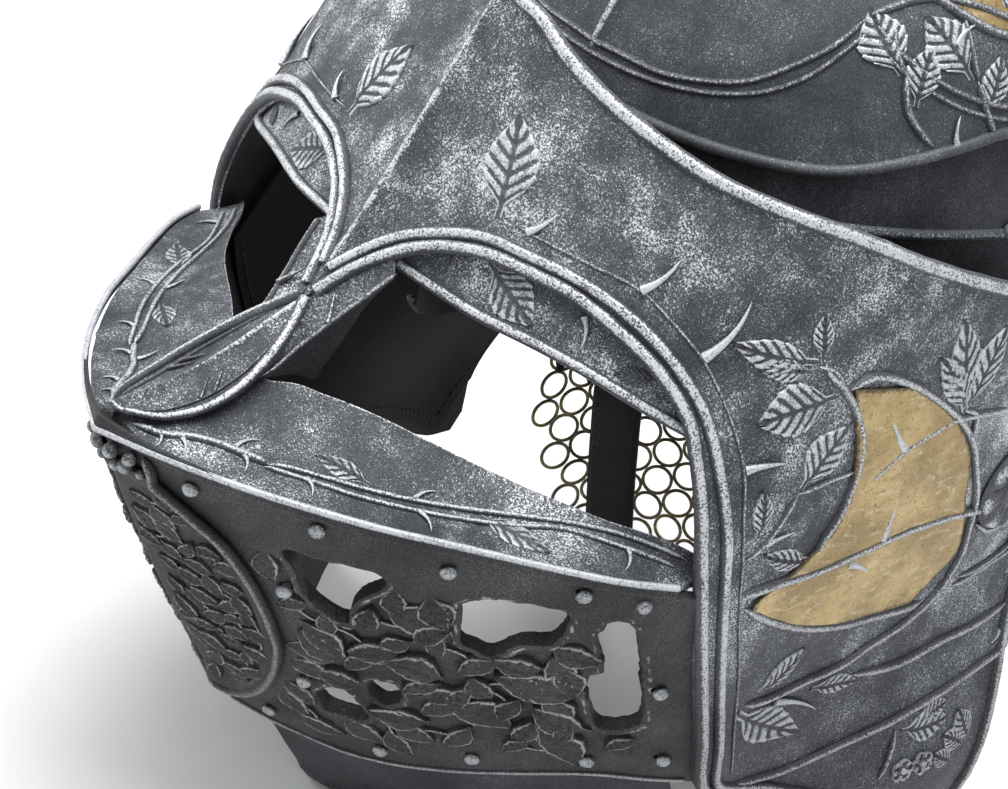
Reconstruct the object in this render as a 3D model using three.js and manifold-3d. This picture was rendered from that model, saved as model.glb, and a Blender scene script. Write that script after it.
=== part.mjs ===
// Close helmet with a lifting visor.
// Units: millimetres. +Z up, the face looks along -Y, +X is the wearer's left.
// Working coordinates start at the tip of the beak; the last group moves them
// so that the origin is at the middle of the base.
import * as THREE from 'three';
import { mergeVertices } from 'three/addons/utils/BufferGeometryUtils.js';
import Module from 'manifold-3d';

const wasm = await Module();
wasm.setup();

// ---- driving dimensions -------------------------------------------------
const BASE_Z = -150;          // height of the base plane below the beak tip
const ORIGIN_Y = 172.55;       // middle of the helmet's length behind the beak tip
const PIVOT_Y = 244;          // visor pivot axis, parallel to X
const PIVOT_Z = 12;
const MASK_T = 2.6;           // visor mask plate thickness
const PLATE_T = 3.0;          // breath plate thickness
const LAME_T = 2.2;           // skull plate thickness
const GAP = 0.35;             // clearance between touching pieces
const BOLT_R = 4.0;           // pivot bolt shank radius
const RIVET_R = 1.2;          // rivet shank radius
const SKULL_A = 104;          // skull half width
const SKULL_B = 110;          // skull half length
const SKULL_YC = 239;         // skull centre, behind the beak tip
const SKULL_Z1 = 55;          // the dome starts here
const SKULL_ZT = 178;         // crown

// ---- tables (working coordinates) ---------------------------------------
// half section of the visor: [x, depth behind the medial ridge]
const SEC = [[0, 0], [13, 4.2], [27, 8.3], [41, 12], [56, 18], [70, 25], [82, 32.5], [91, 40], [99, 50], [105, 60.5], [109, 72], [112, 88], [114, 107], [115, 135], [115, 165], [114.5, 195], [113.5, 220], [112, 250], [110, 285]];
const U = [0];
for (let i = 1; i < SEC.length; i++) U.push(U[i - 1] + Math.hypot(SEC[i][0] - SEC[i - 1][0], SEC[i][1] - SEC[i - 1][1]));
const TX = SEC.map((p, i) => [U[i], p[0]]);
const TD = SEC.map((p, i) => [U[i], p[1]]);
const YM = [[-120, -26], [-88, -8.7], [-40, 17.7], [0, 39.7], [30.9, 56.7], [45, 64.9], [85.8, 81.5], [110.7, 91.3], [125, 97.5], [145, 107]];
const WZ = [[-110, .925], [-88, .945], [-40, .98], [0, 1], [40, 1], [80, .985], [120, .93], [145, .88]];
// beak ridge seen from above: [x, y]
const YEQ = [[0, 0], [18, 8], [38, 21], [60, 41], [76, 60], [90, 77], [101, 92], [109, 108], [114, 122]];
// lower and upper edge of the visor mask: [distance along the section, z]
const ZLOW = [[0, 27.5], [2.1, 30.7], [6.9, 38], [14.3, 45.9], [22.6, 51.1], [35.6, 55.1], [48.5, 55.8], [61.4, 55.2], [75.9, 51.6], [89.2, 46.6], [103.2, 37.8], [112.9, 28], [122.9, 16.3], [133.1, 3.7], [146, -10.6], [168.2, -32.6], [198.3, -59.5], [223.2, -81.1], [240, -89], [268, -95], [300, -104], [328, -112], [352, -119], [364, -118]];
const ZTOP = [[0, 116], [6.2, 113.1], [13.9, 111.2], [27.5, 105.3], [45, 99.9], [60, 96.4], [78, 93.3], [99, 91.9], [120, 90], [142, 86], [179, 80], [215, 75], [245, 68], [262, 61], [276, 52], [292, 36], [304, 16], [316, -8], [328, -36], [340, -62], [352, -88], [364, -110]];
const KNOTS = [0, 6.9, 14.3, 22.6, 35.6, 48.5, 61.4, 75.9, 89.2, 103.2, 112.9, 122.9, 133.1, 146, 157, 168.2, 183, 198.3, 211, 223.2, 240, 254, 268, 284, 300, 314, 328, 340, 352, 364];
// lower edge of the breath plate: [x, z]
const ZBREATH = [[0, -108.4], [10, -108.2], [22.6, -107.5], [34.7, -107], [47.1, -104], [56.2, -100.4], [72.4, -92.9], [91, -83.5], [107, -80]];
// half width of the D-shaped medial panel: [z, x]
const DPANEL = [[-98, 6.5], [-94, 12.5], [-86.7, 19.7], [-75, 27], [-61.7, 32], [-53.9, 33], [-43.5, 32.8], [-33, 30.9], [-25, 27.3], [-19.4, 20.9], [-15, 14.8], [-12.5, 10.5]];
// skull: lower edge of the bowl, of the upper lame, and the rim, by angle from the front
const BOWL_EDGE = [[0, 86.5], [.31, 87.3], [.51, 88.9], [.76, 93.6], [1.05, 107], [1.18, 112.9], [1.45, 119], [1.8, 116], [2.3, 102], [2.8, 90], [3.142, 86]];
const LAME_EDGE = [[0, 68], [.5, 74], [.97, 80.8], [1.29, 84.8], [1.6, 86], [2.2, 80], [2.8, 70], [3.142, 66]];
const RIM = [[.9, -20], [1.1, -36], [1.4, -40], [1.75, -42], [2.0, -49], [2.4, -52], [3.142, -53]];

// ---- surface functions --------------------------------------------------
function herm(T, x) {
  const n = T.length;
  if (x <= T[0][0]) return T[0][1] + (T[1][1] - T[0][1]) / (T[1][0] - T[0][0]) * (x - T[0][0]);
  if (x >= T[n - 1][0]) return T[n - 1][1] + (T[n - 1][1] - T[n - 2][1]) / (T[n - 1][0] - T[n - 2][0]) * (x - T[n - 1][0]);
  let i = 0;
  while (T[i + 1][0] < x) i++;
  const m = k => { const a = Math.max(k - 1, 0), b = Math.min(k + 1, n - 1); return (T[b][1] - T[a][1]) / (T[b][0] - T[a][0]); };
  const h = T[i + 1][0] - T[i][0], t = (x - T[i][0]) / h, t2 = t * t, t3 = t2 * t;
  return (2 * t3 - 3 * t2 + 1) * T[i][1] + (t3 - 2 * t2 + t) * h * m(i) + (-2 * t3 + 3 * t2) * T[i + 1][1] + (t3 - t2) * h * m(i + 1);
}
const sm = t => { t = Math.min(1, Math.max(0, t)); return t * t * (3 - 2 * t); };
const flare = (y, z) => 26 * sm((-z - 15) / 85) * sm((y - 165) / 100);
function visor(u, z) {
  const s = Math.sign(u) || 1, a = Math.abs(u);
  const y = herm(YM, z) + herm(TD, a);
  return [s * (a < 1e-9 ? 0 : herm(TX, a) * herm(WZ, z) + flare(y, z)), y, z];
}
function lower(x, z, b, add) {
  const a = Math.abs(x), t = -3 - z;
  return [x, herm(YEQ, a) + (.55 - .0003 * a) * t + b * t * t + add, z];
}
const breath = (x, z) => lower(x, z, .0013, 0);
const chin = (x, z) => lower(x, z, .0011, 8.5);
const zeq = x => -3 + 3 * Math.exp(-Math.abs(x) / 15);
const shelf = (x, y) => [x, y, zeq(x) + .0068 * (y - herm(YEQ, Math.abs(x))) ** 2];
function skull(th, z, off = 0) {
  const zt = SKULL_ZT - off;
  const k = z <= SKULL_Z1 ? 1 - (z < 0 ? .06 * (z / 58) ** 2 : 0) : Math.max(0, 1 - ((z - SKULL_Z1) / (zt - SKULL_Z1)) ** 2.5) ** .4;
  const c = Math.cos(th), s = Math.sin(th), r = k / (Math.abs(c) ** 2.25 + Math.abs(s) ** 2.25) ** (1 / 2.25);
  return [(SKULL_A - off) * r * s, SKULL_YC - (SKULL_B - off) * r * c, z];
}

// ---- solids -------------------------------------------------------------
function toGeometry(positions, indices) {
  const g = new THREE.BufferGeometry();
  g.setAttribute('position', new THREE.Float32BufferAttribute(positions, 3));
  if (indices) g.setIndex(indices);
  return g;
}
function toManifold(geometry) {
  let g = geometry.clone();
  for (const k of Object.keys(g.attributes)) if (k !== 'position') g.deleteAttribute(k);
  g = mergeVertices(g, 1e-3);
  const p = g.attributes.position.array, tri = [];
  const ix = g.index.array;
  for (let i = 0; i < ix.length; i += 3) {
    const [a, b, c] = [ix[i], ix[i + 1], ix[i + 2]];
    if (a !== b && b !== c && a !== c) tri.push(a, b, c);
  }
  let v = 0;
  for (let i = 0; i < tri.length; i += 3) {
    const A = tri[i] * 3, B = tri[i + 1] * 3, C = tri[i + 2] * 3;
    v += p[A] * (p[B + 1] * p[C + 2] - p[B + 2] * p[C + 1]) - p[A + 1] * (p[B] * p[C + 2] - p[B + 2] * p[C]) + p[A + 2] * (p[B] * p[C + 1] - p[B + 1] * p[C]);
  }
  if (v < 0) for (let i = 0; i < tri.length; i += 3) [tri[i + 1], tri[i + 2]] = [tri[i + 2], tri[i + 1]];
  return new wasm.Manifold(new wasm.Mesh({ numProp: 3, vertProperties: new Float32Array(p), triVerts: new Uint32Array(tri) }));
}
function fromManifold(m) {
  const q = m.getMesh();
  const g = new THREE.BufferGeometry();
  g.setAttribute('position', new THREE.BufferAttribute(new Float32Array(q.vertProperties), 3));
  g.setIndex(new THREE.BufferAttribute(new Uint32Array(q.triVerts), 1));
  return g;
}
// a plate: f(i, j) gives the outer point of column i and row j, off(i, j) the inner one
function plate(nu, nv, outer, inner, wrap = false) {
  const P = [], I = [];
  const cols = wrap ? nu : nu + 1, W = nv + 1;
  for (let i = 0; i < cols; i++) for (let j = 0; j <= nv; j++) P.push(...outer(i, j));
  for (let i = 0; i < cols; i++) for (let j = 0; j <= nv; j++) P.push(...inner(i, j));
  const o = (i, j) => (i % cols) * W + j, n = (i, j) => cols * W + (i % cols) * W + j;
  const quad = (a, b, c, d) => I.push(a, b, c, a, c, d);
  for (let i = 0; i < nu; i++) for (let j = 0; j < nv; j++) {
    quad(o(i, j), o(i + 1, j), o(i + 1, j + 1), o(i, j + 1));
    quad(n(i, j), n(i, j + 1), n(i + 1, j + 1), n(i + 1, j));
  }
  for (let i = 0; i < nu; i++) {
    quad(o(i, 0), n(i, 0), n(i + 1, 0), o(i + 1, 0));
    quad(o(i, nv), o(i + 1, nv), n(i + 1, nv), n(i, nv));
  }
  if (!wrap) for (let j = 0; j < nv; j++) {
    quad(o(0, j), o(0, j + 1), n(0, j + 1), n(0, j));
    quad(o(nu, j), n(nu, j), n(nu, j + 1), o(nu, j + 1));
  }
  return toManifold(toGeometry(P, I));
}
// outward normal of a surface at (a, b)
function normal(f, a, b, sign = 1) {
  const e = .4, A0 = f(a - e, b), A1 = f(a + e, b), B0 = f(a, b - e), B1 = f(a, b + e);
  const va = new THREE.Vector3(A1[0] - A0[0], A1[1] - A0[1], A1[2] - A0[2]);
  const vb = new THREE.Vector3(B1[0] - B0[0], B1[1] - B0[1], B1[2] - B0[2]);
  return va.cross(vb).normalize().multiplyScalar(sign);
}
function offset(f, a, b, d, sign = 1) {
  const p = f(a, b), n = normal(f, a, b, sign);
  return [p[0] + n.x * d, p[1] + n.y * d, p[2] + n.z * d];
}
function shell(as, rows, f, bAt, d0, d1, sign = 1) {
  const q = (i, j, d) => offset(f, as[i], bAt(as[i], j / rows), d, sign);
  return plate(as.length - 1, rows, (i, j) => q(i, j, d0), (i, j) => q(i, j, d1));
}
const mirrored = a => [...a.slice(1).reverse().map(x => -x), ...a];
function flip(m) { return m.mirror([1, 0, 0]); }
function cylinderX(r, x0, x1, y, z, n = 16, hex = false) {
  const g = new THREE.CylinderGeometry(r, r, Math.abs(x1 - x0), hex ? 6 : n, 1);
  g.rotateZ(Math.PI / 2); g.translate((x0 + x1) / 2, y, z);
  return toManifold(g);
}
function latheX(profile, y, z, n = 24) { // profile of [radius, x], closed on the axis or on itself
  const g = new THREE.LatheGeometry(profile.map(p => new THREE.Vector2(p[0], p[1])), n);
  g.rotateZ(-Math.PI / 2); g.translate(0, y, z);
  return toManifold(g);
}
// a turned piece along a direction d from point c
function latheAt(profile, c, d, n = 10) {
  const g = new THREE.LatheGeometry(profile.map(p => new THREE.Vector2(p[0], p[1])), n);
  g.applyQuaternion(new THREE.Quaternion().setFromUnitVectors(new THREE.Vector3(0, 1, 0), d.clone().normalize()));
  g.translate(c[0], c[1], c[2]);
  return toManifold(g);
}
// a cutter that follows an outline on a surface
function cutter(f, outline, d0, d1, sign) {
  const pts = outline.map(p => new THREE.Vector2(p[0], p[1]));
  if (THREE.ShapeUtils.isClockWise(pts)) pts.reverse();
  const tri = THREE.ShapeUtils.triangulateShape(pts, []), n = pts.length;
  const c = pts.reduce((s, p) => s.add(p), new THREE.Vector2()).multiplyScalar(1 / n);
  const N = normal(f, c.x, c.y, sign);
  const P = [], I = [];
  for (const d of [d0, d1]) for (const p of pts) { const q = f(p.x, p.y); P.push(q[0] + N.x * d, q[1] + N.y * d, q[2] + N.z * d); }
  for (const t of tri) { I.push(t[0], t[1], t[2]); I.push(n + t[0], n + t[2], n + t[1]); }
  for (let i = 0; i < n; i++) { const k = (i + 1) % n; I.push(i, n + i, n + k, i, n + k, k); }
  return toManifold(toGeometry(P, I));
}
function box(x0, x1, y0, y1, z0, z1) {
  const g = new THREE.BoxGeometry(x1 - x0, y1 - y0, z1 - z0);
  g.translate((x0 + x1) / 2, (y0 + y1) / 2, (z0 + z1) / 2);
  return toManifold(g);
}

// ---- finishes -----------------------------------------------------------
const steel = () => new THREE.MeshStandardMaterial({ color: 0x4b4e54, roughness: .55, metalness: .7 });
const darkSteel = () => new THREE.MeshStandardMaterial({ color: 0x303236, roughness: .6, metalness: .6 });
const bright = () => new THREE.MeshStandardMaterial({ color: 0xb4b6ba, roughness: .4, metalness: .8 });
const gilt = () => new THREE.MeshStandardMaterial({ color: 0xb09455, roughness: .5, metalness: .6 });
const brown = () => new THREE.MeshStandardMaterial({ color: 0x2a211d, roughness: .8, metalness: 0 });
const black = () => new THREE.MeshStandardMaterial({ color: 0x0e0e10, roughness: .8, metalness: 0 });
const brass = () => new THREE.MeshStandardMaterial({ color: 0x6f6440, roughness: .5, metalness: .8 });
const cloth = () => new THREE.MeshStandardMaterial({ color: 0x57493a, roughness: .95, metalness: 0 });

const helmet = new THREE.Group();
helmet.position.set(0, -ORIGIN_Y, -BASE_Z);
function add(name, manifold, material) {
  const mesh = new THREE.Mesh(fromManifold(manifold), material);
  mesh.name = name;
  helmet.add(mesh);
}
function pair(name, manifold, material) {
  add(name + '_left', manifold, material());
  add(name + '_right', flip(manifold), material());
}

// ---- visor --------------------------------------------------------------
const us = mirrored(KNOTS);
const bolthole = cylinderX(BOLT_R + .5, -140, 140, PIVOT_Y, PIVOT_Z, 14);
const maskZ = (u, v) => { const a = Math.abs(u), l = herm(ZLOW, a), h = herm(ZTOP, a); return l + (h - l) * v; };
add('visor_mask', shell(us, 4, visor, maskZ, 0, -MASK_T).subtract(bolthole), steel());

const lidU = KNOTS.filter(u => u >= 14 && u <= 113);
const LIDLOW = [[14.3, 43], [35.6, 41.7], [57, 41.4], [71, 40.6], [84, 38.9], [104, 35.3], [112.9, 33]];
const LIDTOP = [[14.3, 52.5], [22.6, 57], [35.6, 60.5], [48.5, 61.4], [61.4, 60.6], [75.9, 57.4], [89.2, 52], [103.2, 43.5], [112.9, 37]];
pair('eyelid', shell(lidU, 2, visor, (u, v) => herm(LIDLOW, u) + (herm(LIDTOP, u) - herm(LIDLOW, u)) * v, -MASK_T - 1.2, -MASK_T - 3.4), steel);

// nose bar: a low ridged leaf from the beak to the brow, with a flank on each side
const RIDGE = [[0, 2.5, 2.8], [0, 9.8, 3.9], [0, 15.5, 5.3], [0, 24.6, 9.1], [0, 35, 14.8], [0, 44, 20.7], [0, 50.5, 25], [0, 54.2, 27.3]];
const EDGE = [[1.6, 3.1, 1.6], [5.9, 8.6, 1.3], [8.6, 14.2, 1.8], [10.6, 23, 4.4], [10.6, 32.5, 9.4], [8, 42.3, 16.6], [4.2, 49.8, 23], [.9, 54.1, 27]];
const SKIRT = [0, 0, 0, .6, 1.8, 2.2, 1.6, .3];
{
  const S = [-2, -1, -.5, 0, .5, 1, 2], n = RIDGE.length - 1;
  const at = (j, s) => {
    const r = RIDGE[j], e = EDGE[j], a = Math.abs(s), g = Math.sign(s), k = Math.max(a - 1, 0), m = Math.min(a, 1);
    return [g * (m * e[0] + k * .5 * Math.min(1, SKIRT[j] + .2)), r[1] + (e[1] - r[1]) * m + k * .3, r[2] + (e[2] - r[2]) * m - k * (SKIRT[j] + .2)];
  };
  const inner = (j, s) => { const p = at(j, s), a = Math.abs(s), g = Math.sign(s), th = [.5, .8, 1.0, 1.5, 1.9, 1.9, 1.7, .8][j]; return [p[0] - g * (a > .9 ? Math.min(th, Math.abs(p[0]) * .6) * .8 : 0), p[1] + th * .25, p[2] - (a < 1.5 ? th * .95 : th * .3)]; };
  const leaf = plate(S.length - 1, n, (i, j) => at(j, S[i]), (i, j) => inner(j, S[i]));
  // flank: top line, front edge and rear edge at each station
  const T = [[9.6, 35.2, 10.2], [7.4, 42.4, 15.6], [3.7, 49.8, 22], [.6, 54.2, 26], [2.7, 58, 30.3], [6.2, 62.6, 36.2], [9.9, 66.9, 40.8], [13.3, 69.4, 44]];
  const B = [[9.6, 38.6, 10.9], [8.9, 43.6, 12.6], [8.6, 47.6, 16], [9.2, 50.6, 19.4], [10.2, 53.8, 23.1], [12.2, 58.8, 29.6], [14, 62.5, 34.4], [15.6, 68.2, 41.4]];
  const C = [[8.6, 41.4, 11], [6.6, 53, 9.8], [6.2, 61.1, 6.6], [7, 62, 9.6], [8, 62.9, 13.2], [10.2, 63.9, 21.2], [12.6, 65.2, 31], [15, 69.8, 41]];
  const off = [[-.2, 1.2, -.8], [-1.3, .5, -.4], [-1.5, 0, .3]], L = [T, B, C];
  const flank = plate(2, T.length - 1, (i, j) => L[i][j], (i, j) => L[i][j].map((q, k) => q + off[i][k]));
  add('nasal_guard', leaf.add(flank).add(flip(flank)), steel());
}

// cheek shelves between the beak ridge and the eye openings
{
  const xs = [2.2, 8, 14, 20, 28, 38, 49, 60, 70, 80, 89, 97, 103];
  const BACK = [[0, 38.5], [8, 41.5], [14, 47.5], [20, 51.5], [26, 55.5], [59, 77.4], [83, 98.8], [92, 108.3], [98, 114], [103, 118]];
  const at = (x, v) => { const f = herm(YEQ, x) + 1.4 + (x < 10 ? (10 - x) * .35 : 0); return shelf(x, f + (herm(BACK, x) - f) * v); };
  const drop = (x, v) => { const p = at(x, v); return [p[0], p[1], p[2] - 2.2]; };
  pair('cheek_shelf', plate(xs.length - 1, 3, (i, j) => at(xs[i], j / 3), (i, j) => drop(xs[i], j / 3)), steel);
}

// bright seam rim along the beak ridge
{
  const xs = mirrored([0, 3, 8, 18, 28, 38, 49, 60, 68, 76, 83, 90, 96, 101, 105, 108]);
  const zs = [-5.3, -3.3, -1.2];
  const f = (x, z) => { const a = Math.abs(x); return [x, herm(YEQ, a) - .9 - (z > -4 && z < -3 ? .6 : 0), z + 1.5 * Math.exp(-a / 12)]; };
  add('beak_ridge', plate(xs.length - 1, 2, (i, j) => { const p = f(xs[i], zs[j]); return [p[0], p[1] - 1, p[2]]; }, (i, j) => { const p = f(xs[i], zs[j]); return [p[0] * .995, p[1] + .9, p[2]]; }), bright());
}

// breath plate with its holes
const H1 = [[40, -21.4], [48.2, -20.3], [59.7, -19.9], [60.1, -23.2], [53.9, -31.2], [49.5, -42.9], [42.4, -37.7]];
const H2 = [[72.9, -23.3], [79.4, -18.4], [91.1, -17.4], [90.3, -25], [84.3, -32.3], [75.8, -41.2], [71.5, -38.7]];
const H3 = [[97.5, -20.5], [100.6, -16.5], [102.4, -22], [102.4, -40], [101, -56], [94, -60.5], [92.9, -44], [96.4, -36]];
const H4 = [[34.1, -83], [37.1, -76.1], [42.5, -72.2], [46, -83.8], [36.3, -86.3]];
const H5 = [[49.1, -66.8], [55.6, -62.1], [56.2, -68.8], [50.3, -73.3]];
const RIVETS = [[22.2, -10.8], [49.1, -9.2], [71.8, -11.6], [94.4, -9.1], [104.7, -41.3], [103.6, -69.9], [89.9, -76.5], [66.7, -87.6], [45.5, -97], [16.1, -99.6], [38, -36.3], [33.6, -74.2]];
const TAILS = 5.2;
{
  const xs = mirrored([0, 6, 14, 24, 36, 50, 64, 78, 90, 99, 107]);
  let b = shell(xs, 4, breath, (x, v) => { const l = herm(ZBREATH, Math.abs(x)), h = -5.9 + 1.5 * Math.exp(-Math.abs(x) / 12); return l + (h - l) * v; }, 0, -PLATE_T, 1);
  for (const h of [H1, H2, H3, H4, H5]) {
    const c = cutter(breath, h, -9, 6, 1);
    b = b.subtract(c).subtract(flip(c));
  }
  RIVETS.forEach((r, i) => {
    const c = breath(r[0], r[1]), n = normal(breath, r[0], r[1], 1);
    const hole = latheAt([[0, -8], [RIVET_R + GAP, -8], [RIVET_R + GAP, 6], [0, 6]], c, n, 6);
    b = b.subtract(hole).subtract(flip(hole));
    const head = latheAt([[0, -TAILS], [RIVET_R + 1, -TAILS], [RIVET_R + 1, -PLATE_T - .7], [RIVET_R, -PLATE_T - .7], [RIVET_R, .75], [2.3, .75], [1.6, 1.9], [0, 2.4]], c, n, 6);
    pair('breath_rivet_' + String(i + 1).padStart(2, '0'), head, bright);
  });
  add('breath_plate', b, darkSteel());
}
{
  const zs = DPANEL.map(p => p[0]), ss = [-1, -.7, -.4, -.15, 0, .15, .4, .7, 1];
  const q = (i, j, d) => offset(breath, ss[i] * herm(DPANEL, zs[j]), zs[j], d, 1);
  add('medial_panel', plate(ss.length - 1, zs.length - 1, (i, j) => q(i, j, 2.6), (i, j) => q(i, j, .8)), darkSteel());
}
{
  const xs = mirrored([0, 5, 12, 20, 30, 42, 54, 66, 78, 86, 92]);
  const c = shell(xs, 5, chin, (x, v) => { const h = herm(ZBREATH, Math.abs(x)) + 7; return BASE_Z - 4 + (h - BASE_Z + 4) * v; }, 0, -2.6, 1);
  add('chin_lame', c.subtract(box(-130, 130, 60, 260, BASE_Z - 30, BASE_Z)), darkSteel());
}

// gilt inlays on the side wings, by rows of [z, u from, u to]
const inlay = rows => {
  const n = 3;
  const q = (i, j, d) => offset(visor, rows[j][1] + (rows[j][2] - rows[j][1]) * i / n, rows[j][0], d, 1);
  return plate(n, rows.length - 1, (i, j) => q(i, j, 1.7), (i, j) => q(i, j, .95));
};
pair('gilt_inlay', inlay([[-26, 222, 252], [-19, 188, 256], [-11, 166, 258], [0, 172, 247.5], [10, 175, 238], [21, 170.5, 226], [32, 164, 211], [44, 152, 186], [53, 144, 162]]).subtract(cylinderX(17, 90, 140, PIVOT_Y, PIVOT_Z)), gilt);

// leather lining inside the wings
{
  const uu = [152, 168.2, 183, 198.3, 211, 223.2, 240, 254, 268, 284, 300, 314, 328, 340, 352];
  const z = (u, v) => { const l = herm(ZLOW, u) + 4, h = Math.max(herm(ZTOP, u) - 5, l + 6); return l + (h - l) * v; };
  const lining = shell(uu, 4, visor, z, -MASK_T - 2.4, -MASK_T - 3.6).subtract(cylinderX(10.5, 80, 140, PIVOT_Y, PIVOT_Z));
  pair('wing_lining', lining, brown);
}

// pivot hardware
const WX = visor(264, PIVOT_Z)[0];
pair('pivot_rosette', latheX([[9.4, WX + 1.1], [16, WX + 1.1], [15.2, WX + 2.8], [11, WX + 4.9], [5, WX + 6.1], [0, WX + 6.4], [0, WX + 4.3], [9.4, WX + 4.3], [9.4, WX + 1.1]], PIVOT_Y, PIVOT_Z, 16), bright);
pair('pivot_bolt', latheX([[0, 84.8], [BOLT_R, 84.8], [BOLT_R, WX + .5], [8.4, WX + .5], [8.4, WX + 2.6], [7, WX + 3.5], [0, WX + 3.8], [0, 84.8]], PIVOT_Y, PIVOT_Z, 12), darkSteel);
pair('pivot_spacer', cylinderX(9.5, 97, WX - MASK_T - .7, PIVOT_Y, PIVOT_Z).subtract(cylinderX(BOLT_R + GAP, 80, 130, PIVOT_Y, PIVOT_Z, 12)), darkSteel);
pair('pivot_washer', cylinderX(9.5, 91.4, 92.8, PIVOT_Y, PIVOT_Z).subtract(cylinderX(BOLT_R + GAP, 80, 130, PIVOT_Y, PIVOT_Z, 12)), bright);
pair('pivot_nut', cylinderX(8, 86, 91, PIVOT_Y, PIVOT_Z, 6, true).subtract(cylinderX(BOLT_R + GAP, 80, 130, PIVOT_Y, PIVOT_Z, 12)), darkSteel);

// ---- skull --------------------------------------------------------------
const fold = th => { let a = Math.abs(th % (2 * Math.PI)); return a > Math.PI ? 2 * Math.PI - a : a; };
const RV = [[1.32, 97], [2.45, 84]];   // lame rivets: angle, height
const lameRivet = (th, z) => {
  const p = skull(th, z, 4), q = skull(th, z, 8), n = normal((a, b) => skull(a, b, 4), th, z, 1);
  return { p, n };
};
const rivetHole = (th, z) => { const { p, n } = lameRivet(th, z); return latheAt([[0, -12], [RIVET_R + GAP, -12], [RIVET_R + GAP, 2.2], [0, 2.2]], p, n, 8); };
{
  const nu = 32, nv = 5;
  const row = (i, j, off) => {
    const th = i / nu * 2 * Math.PI, e = herm(BOWL_EDGE, fold(th)), zt = SKULL_ZT - off;
    const v = j / nv, z = e + (zt - e) * Math.sin(v * Math.PI / 2);
    return j === nv ? [0, SKULL_YC, zt] : skull(th, z, off);
  };
  add('skull_bowl', plate(nu, nv, (i, j) => row(i, j, 0), (i, j) => row(i, j, LAME_T), true), steel());
}
{
  const nu = 32, nv = 2;
  const row = (i, j, off) => {
    const th = i / nu * 2 * Math.PI, l = herm(LAME_EDGE, fold(th)), h = herm(BOWL_EDGE, fold(th)) + 7;
    return skull(th, l + (h - l) * j / nv, off);
  };
  let m = plate(nu, nv, (i, j) => row(i, j, 4), (i, j) => row(i, j, 4 + LAME_T), true);
  for (const [th, z] of RV) { const h = rivetHole(th, z - 9); m = m.subtract(h).subtract(flip(h)); }
  add('skull_lame_upper', m, darkSteel());
}
const TH0 = 1.0;
{
  const nu = 28, nv = 4;
  const row = (i, j, off) => {
    const th = TH0 + (2 * Math.PI - 2 * TH0) * i / nu, a = fold(th), l = herm(RIM, a), h = herm(LAME_EDGE, a) + 8;
    return skull(th, l + (h - l) * j / nv, off);
  };
  let m = plate(nu, nv, (i, j) => row(i, j, 8), (i, j) => row(i, j, 8 + LAME_T)).subtract(cylinderX(BOLT_R + .4, -130, 130, PIVOT_Y, PIVOT_Z, 12));
  for (const [th, z] of RV) { const h = rivetHole(th, z - 9); m = m.subtract(h).subtract(flip(h)); }
  add('skull_lame_lower', m, darkSteel());
}
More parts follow.
